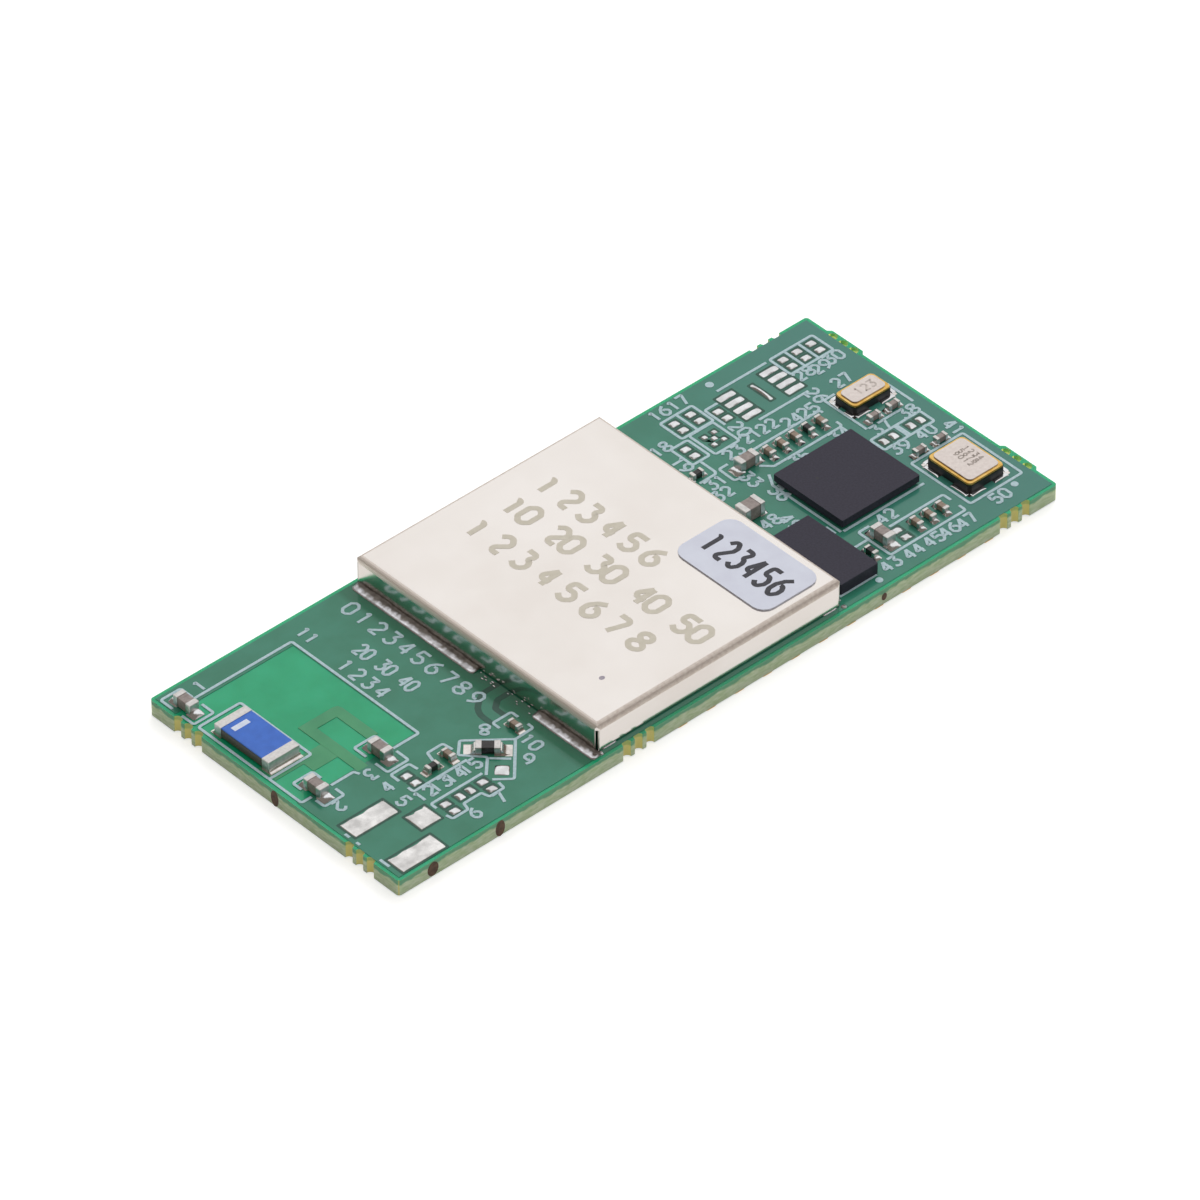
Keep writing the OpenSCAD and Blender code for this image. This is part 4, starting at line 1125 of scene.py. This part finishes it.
# %% [markdown]
# Single parts get a bracket or a part of a frame, drawn from the box round their joints. A corner left
# out or cut off shows where a neighbour's line would run into it.
# %% Brackets of single parts
pull_up = frame_of(solids("option_resistor_joints")[0:2], (0.3, 0.3))
legend += [
    [(pull_up[0] + 0.6, pull_up[1] + 0.12), (pull_up[2] - 0.1, pull_up[1] + 0.12),
     (pull_up[2], pull_up[1] + 0.24), (pull_up[2], pull_up[3] + 0.1)],
]
supply = solids("supply_capacitor_joints")
corner = frame_of(supply[2:4], (0.2, 0.2))
legend += [
    [(corner[0] + 0.5, corner[3] + 0.05), (corner[0] + 0.02, corner[3] + 0.05), (corner[0], corner[1] + 0.15),
     (corner[0] + 0.48, corner[1] + 0.05)],
]
row = frame_of(solids("bypass_capacitors")[0:2] + solids("bypass_capacitors")[6:7], (0.4, 0.39))
legend += [
    [(row[0] - 0.25, row[1] + 0.42), (row[0] + 0.18, row[1]), (row[2] - 0.1, row[1]),
     (row[2] + 0.02, row[1] + 0.08), (row[2] + 0.02, row[1] + 0.36)],
    [(row[2] + 0.02, row[3] - 0.2), (row[2] + 0.02, row[3] - 0.02), (row[0] + 0.28, row[3] - 0.02)],
]
print("with the brackets,", len(legend), "paths")

# %% [markdown]
# The frame round the controller has a slanted corner, which shows which of its corners comes first. The
# memory, the row of capacitors at the near edge and the two crystals have frames too.
# %% Frames of the chips and crystals
chip = frame_of([box("controller_chip")], (0.14, 0.11))
legend += [
    [(chip[0], chip[1] + 0.05), (chip[0], chip[3] - 0.22), (chip[0] + 0.35, chip[3] + 0.38)],
    [(chip[0] + 0.1, chip[1]), (chip[2], chip[1])],
]
memory = box("memory_chip")
legend += [
    [(memory[0] - 0.1, memory[1] - 0.03), (memory[3] - 0.1, memory[1] - 0.03)],
    [(memory[3] + 0.45, memory[4] - 0.55), (memory[3] + 0.45, memory[4] - 1.1)],
]
near_row = frame_of(solids("bypass_capacitor_joints")[4:6], (0.1, 0.18))
near_right = box("bypass_capacitors")[3] + 0.37
legend += [
    [(near_row[0] - 1.72, near_row[3]), (near_row[0] - 2.47, near_row[3])],
    [(near_row[0] - 0.57, near_row[3]), (near_right, near_row[3]), (near_right, near_row[3] - 0.45)],
    [(near_right, near_row[1] + 0.4), (near_right, near_row[1] + 0.02),
     (near_row[0] - 1.72, near_row[1] + 0.02), (near_row[0] - 1.72, near_row[3] + 0.57),
     (near_row[0] - 1.12, near_row[3] + 0.57)],
]
small = frame_of(solids("small_crystal_joints"), (0.08, 0.17))
legend += [
    [(small[0] + 0.6, small[3]), (small[0], small[3]), (small[0], small[1] - 0.63)],
    [(small[0] + 0.8, small[1] - 0.63), (small[0] + 1.7, small[1] - 0.63)],
    [(small[2] + 0.06, small[1] - 0.58), (small[2] + 0.06, small[1] + 0.92)],
]
large = frame_of(solids("large_crystal_joints"), (0.23, 0.31))
legend += [loop(large[0], large[1], large[2] + 0.11, large[3])]
lines("crystal_end_outlines", legend, legend_low, legend_line, legend_ink)

# %% [markdown]
# A dot of ink marks the first pin of a chip, so that it isn't fitted the wrong way round. The three dots
# are thin round plates of the same ink.
# %% Dots at the first pins
dots = [
    oval(rows[0][0] + 0.47, rows[3][4] + 0.83, 0.18, 0.18),
    oval(memory[3] - 0.25, memory[1] - 0.34, 0.16, 0.16),
    oval(large[2] - 0.6, large[1] - 0.3, 0.16, 0.16),
]
plate("first_pin_dots", dots, legend_low, legend_height, legend_ink)

# %% [markdown]
# Beside each part stands its number in the parts list. The numbers are drawn with single strokes, as
# board legends are, so each figure is a few short paths on a small grid, scaled and turned into place.
# They go through the same tree as the outlines. Here they simply count the parts.
# %% Figures drawn with strokes
figures = {
    "0": [[(0, 2), (0, 8), (2, 10), (4, 10), (6, 8), (6, 2), (4, 0), (2, 0), (0, 2)]],
    "1": [[(1, 8), (3, 10), (3, 0)]],
    "2": [[(0, 8), (2, 10), (4, 10), (6, 8), (6, 6), (0, 0), (6, 0)]],
    "3": [[(0, 10), (6, 10), (3, 6), (5, 5.5), (6, 4), (6, 2), (4, 0), (2, 0), (0, 1.5)]],
    "4": [[(4.5, 0), (4.5, 10)], [(4.2, 10), (0, 3), (6, 3)]],
    "5": [[(6, 10), (0.5, 10), (0, 5.5), (4, 6), (6, 4), (6, 2), (4, 0), (2, 0), (0, 1.5)]],
    "6": [[(5, 10), (2, 8), (0, 5), (0, 2), (2, 0), (4, 0), (6, 2), (6, 4), (4, 6), (2.5, 5.6)]],
    "7": [[(0, 10), (6, 10), (2.5, 0)]],
    "8": [
        [(3, 5.3), (0.5, 7), (0.5, 9), (2, 10), (4, 10), (5.5, 9), (5.5, 7), (3, 5.3)],
        [(3, 5.3), (0, 3.5), (0, 1.5), (2, 0), (4, 0), (6, 1.5), (6, 3.5), (3, 5.3)],
    ],
    "9": [[(3.6, 4.4), (2, 4), (0, 6), (0, 8), (2, 10), (4, 10), (6, 8), (6, 5), (4, 2), (1, 0)]],
}


print("drew", sum(map(len, figures.values())), "strokes for", len(figures), "figures")

# %% [markdown]
# A number is a row of figures set out along a line. Its strokes are scaled to the height of the number,
# moved so that the row is centred, and turned to the way that it reads on the board.
# %% Set a row of figures
grid = 10


def number(figure_row, x, y, tall, turn=-90, pitch=0.86, slim=1.0):
    """A row of figures centred at x, y and turned by degrees; -90 reads towards the near edge."""
    paths = []
    step = tall * pitch
    wide = step * (len(figure_row) - 1) + tall * 0.6 * slim
    cos_turn, sin_turn = cos(radians(turn)), sin(radians(turn))
    for place_in_row, figure in enumerate(figure_row):
        for stroke in figures.get(figure, []):
            path = []
            for across, high in stroke:
                along = place_in_row * step + across / grid * tall * slim - wide / 2
                above = high / grid * tall - tall / 2
                spot_x = x + along * cos_turn - above * sin_turn
                path.append((spot_x, y + along * sin_turn + above * cos_turn))
            paths.append(path)
    return paths


print("the number 12 takes", len(number("12", 0, 0, 1)), "strokes")

# %% [markdown]
# The places of the numbers follow the parts: beside a short side, or in a row where parts stand close.
# Each place is x, y and a turn. At the antenna end they are worked out from the outlines, and at the
# crystal end, where they stand between many parts, they are plain places in millimetres.
# %% Part numbers
number_size = 0.58
number_line = (0.125, legend_height, 0.03)
row_step = 0.78
spots = [
    (antenna_frame[0] + 1.65, area_far + 0.43, 0), (second_frame[0] + 0.45, second_frame[1] - 0.35, 180),
    (third_frame[0] - 0.55, third_frame[1] + 0.35, 180), (row_left - 0.55, row_far - 0.45, 0),
    (row_left - 0.65, row_near - 0.15, -90), (row_left + 0.9, low_near - 0.33, 0),
    (row_right - 0.55, low_near - 0.33, 0), (turned[3] - 0.2, turned[4] + 0.1, 135),
    (turned[3] - 0.1, turned[1] - 0.55, -45), (coupler[0] + 0.03, coupler[1] - 0.8, -90),
    (area_right + 0.7, area_far - 0.15, -90),
]
spots += [(row_left + 0.25 + k * row_step, row_near - 0.38, 0) for k in range(4)]
spots += [
    (8.9, 6.7, 0), (9.9, 6.7, 0), (7.4, 5.0, 0), (7.35, 3.7, -90), (10.6, 3.8, -90), (10.6, 3.2, 0),
    (11.5, 3.2, 0), (9.4, 2.9, 0), (12.5, 2.82, 0), (13.4, 2.82, 0), (14.3, 3.3, -90), (15.7, 3.3, 0),
    (14.9, 4.65, 0), (15.7, 4.5, 0), (16.5, 4.6, 0), (7.6, 2.0, 0), (7.3, 1.3, 0), (8.75, 1.2, -90),
    (13.3, 0.85, 0), (11.1, 0.85, 0), (9.0, -0.2, -90), (14.8, 0.05, 0), (16.3, 0.05, 0), (14.5, -1.35, 0),
    (15.9, -1.35, 0), (16.95, -1.9, -90), (11.1, -4.1, 0), (9.2, -6.35, 0), (10.4, -6.4, 0), (11.5, -6.4, 0),
    (12.35, -6.4, 0), (13.25, -6.45, 0), (7.5, -1.25, 0), (8.1, -1.8, -90), (15.3, -6.25, 0),
]
counted = []
for count, (x, y, turn) in enumerate(spots, start=1):
    counted += number(str(count), x, y, number_size, turn)
lines("part_numbers", counted, legend_low + level_count * step_up, number_line, legend_ink)

# %% [markdown]
# Beside the can three rows of larger figures stand for the printed text. They show a plain count, in the
# sizes and the lengths that such rows have.
# %% Rows of figures beside the can
scale_rows = [
    number("0 1 2 3 4 5 6 7 8 9", can[0] - 1.25, 2.35, 0.74, pitch=0.55),
    number("20 30 40", can[0] - 2.6, 2.4, 0.66, pitch=0.65, slim=0.8),
    number("1 2 3 4", can[0] - 3.68, 2.5, 0.66, pitch=0.54),
]
scale_paths = [path for each in scale_rows for path in each]
lines("scale_numbers", scale_paths, legend_low, number_line, legend_ink)

# %% [markdown]
# The lid carries three rows of plain figures in a thin grey-tan ink. They are broad-stroked, so the same
# strokes are swept wider. Print sinks a hair into what carries it, which leaves no gap below.
# %% Figures on the lid
print_sink = 0.001
lid_top = can[5]
lid_ink = finish("pad_printed_grey_ink", ("#cbc4b4", "#d2cbbc"), 0.3, 0.002, 0.5).surface
lid_rows = [
    number("1 2 3 4 5 6", can[3] - 4.5, 2.15, 1.08, pitch=0.56),
    number("10 20 30 40 50", can[3] - 6.35, -0.2, 1.08, pitch=0.76),
    number("1 2 3 4 5 6 7 8", can[3] - 8.33, 0.4, 1.08, pitch=0.62),
]
lid_paths = [path for each in lid_rows for path in each]
lines("lid_numbers", lid_paths, lid_top - print_sink, (0.26, 0.004, 0.17), lid_ink)

# %% [markdown]
# The label has one row of bold black figures, and the antenna's glazed body one white dash. They are
# swept with a broad stroke too, and each has an ink of its own.
# %% Figures on the label and a mark on the antenna
label = box("serial_label")
label_x, label_y = (label[0] + label[3]) / 2, (label[1] + label[4]) / 2
black_ink = finish("thermal_black_ink", ("#2c2b33", "#383741"), 0.2, 0.001, 0.45).surface
label_row = number("123456", label_x, label_y, 1.25, pitch=0.6, slim=0.6)
lines("label_numbers", label_row, label[5] - print_sink, (0.22, 0.004, 0.14), black_ink)
glyph = box("antenna_body")
mark_x, mark_y = (glyph[0] + glyph[3]) / 2 - 0.1, glyph[4] - 0.75
antenna_mark = [[(mark_x - 0.4, mark_y), (mark_x + 0.4, mark_y)]]
mark_ink = finish("fired_white_mark", ("#cfd9ee", "#dfe6f5"), 0.3, 0.002, 0.4).surface
lines("antenna_mark", antenna_mark, glyph[5] - print_sink, (0.26, 0.006, 0.1), mark_ink)

# %% [markdown]
# Making the module leaves traces on it: brown scorched spots on the board's cut edge, and rounded rims
# where the can's sheet was slit at the corners. The rims are thin upright rods, and they come first.
# %% Rims of the corner slits
rim_radius = 0.035
rim_far, rim_close = 0.14, 0.036
slit_end = can[5] - 0.29
rim_tin = finish("tin_on_sheared_rim", ("#cfc8c2", "#ded8d2"), 0.2, 0.002, 0.3, 1.0).surface
rods = bmesh.new()
for corner_x, toward_x in ((can[0], 1), (can[3], -1)):
    for corner_y, toward_y in ((can[1], 1), (can[4], -1)):
        for off_x, off_y in ((rim_close, rim_far), (rim_far, rim_close)):
            middle = (corner_x + toward_x * off_x, corner_y + toward_y * off_y, (can[2] + slit_end) / 2)
            bmesh.ops.create_cone(
                rods, cap_ends=True, segments=10, radius1=rim_radius, radius2=rim_radius,
                depth=slit_end - can[2], matrix=Matrix.Translation(middle),
            )
place_build("slit_rims", rods, rim_tin)

# %% [markdown]
# The scorched spots are thin plates that stand against the cut edge, rounded like a thumb print.
# %% Scorched spots on the cut edge
scorch = finish("scorched_laminate", ("#46301f", "#6a4d38"), 0.2, 0.004, 0.6).surface
spots_on_edge = [
    (-15.75, -half_width, 0, 0.28, 0.34),
    (-12.3, -half_width, 0, 0.24, 0.39),
    (8.0, -half_width, 0, 0.14, 0.18),
    (-7.8, half_width, 0, 0.3, 0.35),
    (left_end, -0.1, 90, 0.22, 0.39),
]
scars = bmesh.new()
for x, y, turn, half_long, half_high in spots_on_edge:
    stand = Matrix.Rotation(radians(turn), 4, "Z") @ Matrix.Rotation(pi / 2, 4, "X")
    tilt = Matrix.Translation((x, y, board_top * 0.5)) @ stand
    bmesh.ops.create_cone(
        scars, cap_ends=True, segments=20, radius1=1, radius2=1, depth=1,
        matrix=tilt @ Matrix.Diagonal((half_long, half_high, 0.01, 1)),
    )
place_build("scorched_spots", scars, scorch)

# %% [markdown]
# Two small traces of handling and moulding: a graze on the can's lid and the moulding dimple on the
# controller. Both are so shallow that a thin oval of a slightly other tone shows them.
# %% Graze and dimple
graze = finish("grazed_tin_plating", ("#9d95a0", "#aba3ab"), 0.1, 0.001, 0.4, 0.6).surface
graze_outline = oval(can[0] + 2.1, can[1] + 1.98, 0.13, 0.11)
plate("lid_graze", [graze_outline], lid_top - print_sink, 0.002, graze)
dimple = finish("ejector_mark_in_epoxy", ("#1b1922", "#211e28"), 0.05, 0.001, 0.5).surface
chip_box = box("controller_chip")
dimple_outline = oval((chip_box[0] + chip_box[3]) / 2 - 1.0, chip_box[4] - 1.35, 0.07, 0.07)
plate("chip_dimple", [dimple_outline], chip_box[5] - print_sink, 0.002, dimple)

# %% [markdown]
# A laser writes small figures on the crystals' lids. They only dull the nickel, so their tone is close to
# the lid's own.
# %% Figures on the crystals
lid_box = box("large_crystal_lid")
lid_middle = ((lid_box[0] + lid_box[3]) / 2, (lid_box[1] + lid_box[4]) / 2)
crystal_rows = []
for drift, figure_row in ((0.49, "1234"), (0.21, "5678"), (-0.07, "9012")):
    crystal_rows += number(figure_row, lid_middle[0] + drift, lid_middle[1] + 0.06, 0.24, pitch=1.15)
small_lid = box("small_crystal_lid")
small_middle = ((small_lid[0] + small_lid[3]) / 2, (small_lid[1] + small_lid[4]) / 2)
faint_row = number("123", small_middle[0] + 0.1, small_middle[1], 0.42, 0)
grey_mark = finish("laser_marked_nickel", ("#a79c94", "#b2a7a0"), 0.1, 0.001, 0.5, 0.6).surface
lines("crystal_figures", crystal_rows, lid_box[5] - print_sink, (0.06, 0.002, 0.01), grey_mark)
faint_mark = finish("faint_laser_mark", ("#c0b5ae", "#c9bfb8"), 0.1, 0.001, 0.45, 0.8).surface
faint_line = (0.08, 0.002, 0.01)
lines("small_crystal_figures", faint_row, small_lid[5] - print_sink, faint_line, faint_mark)
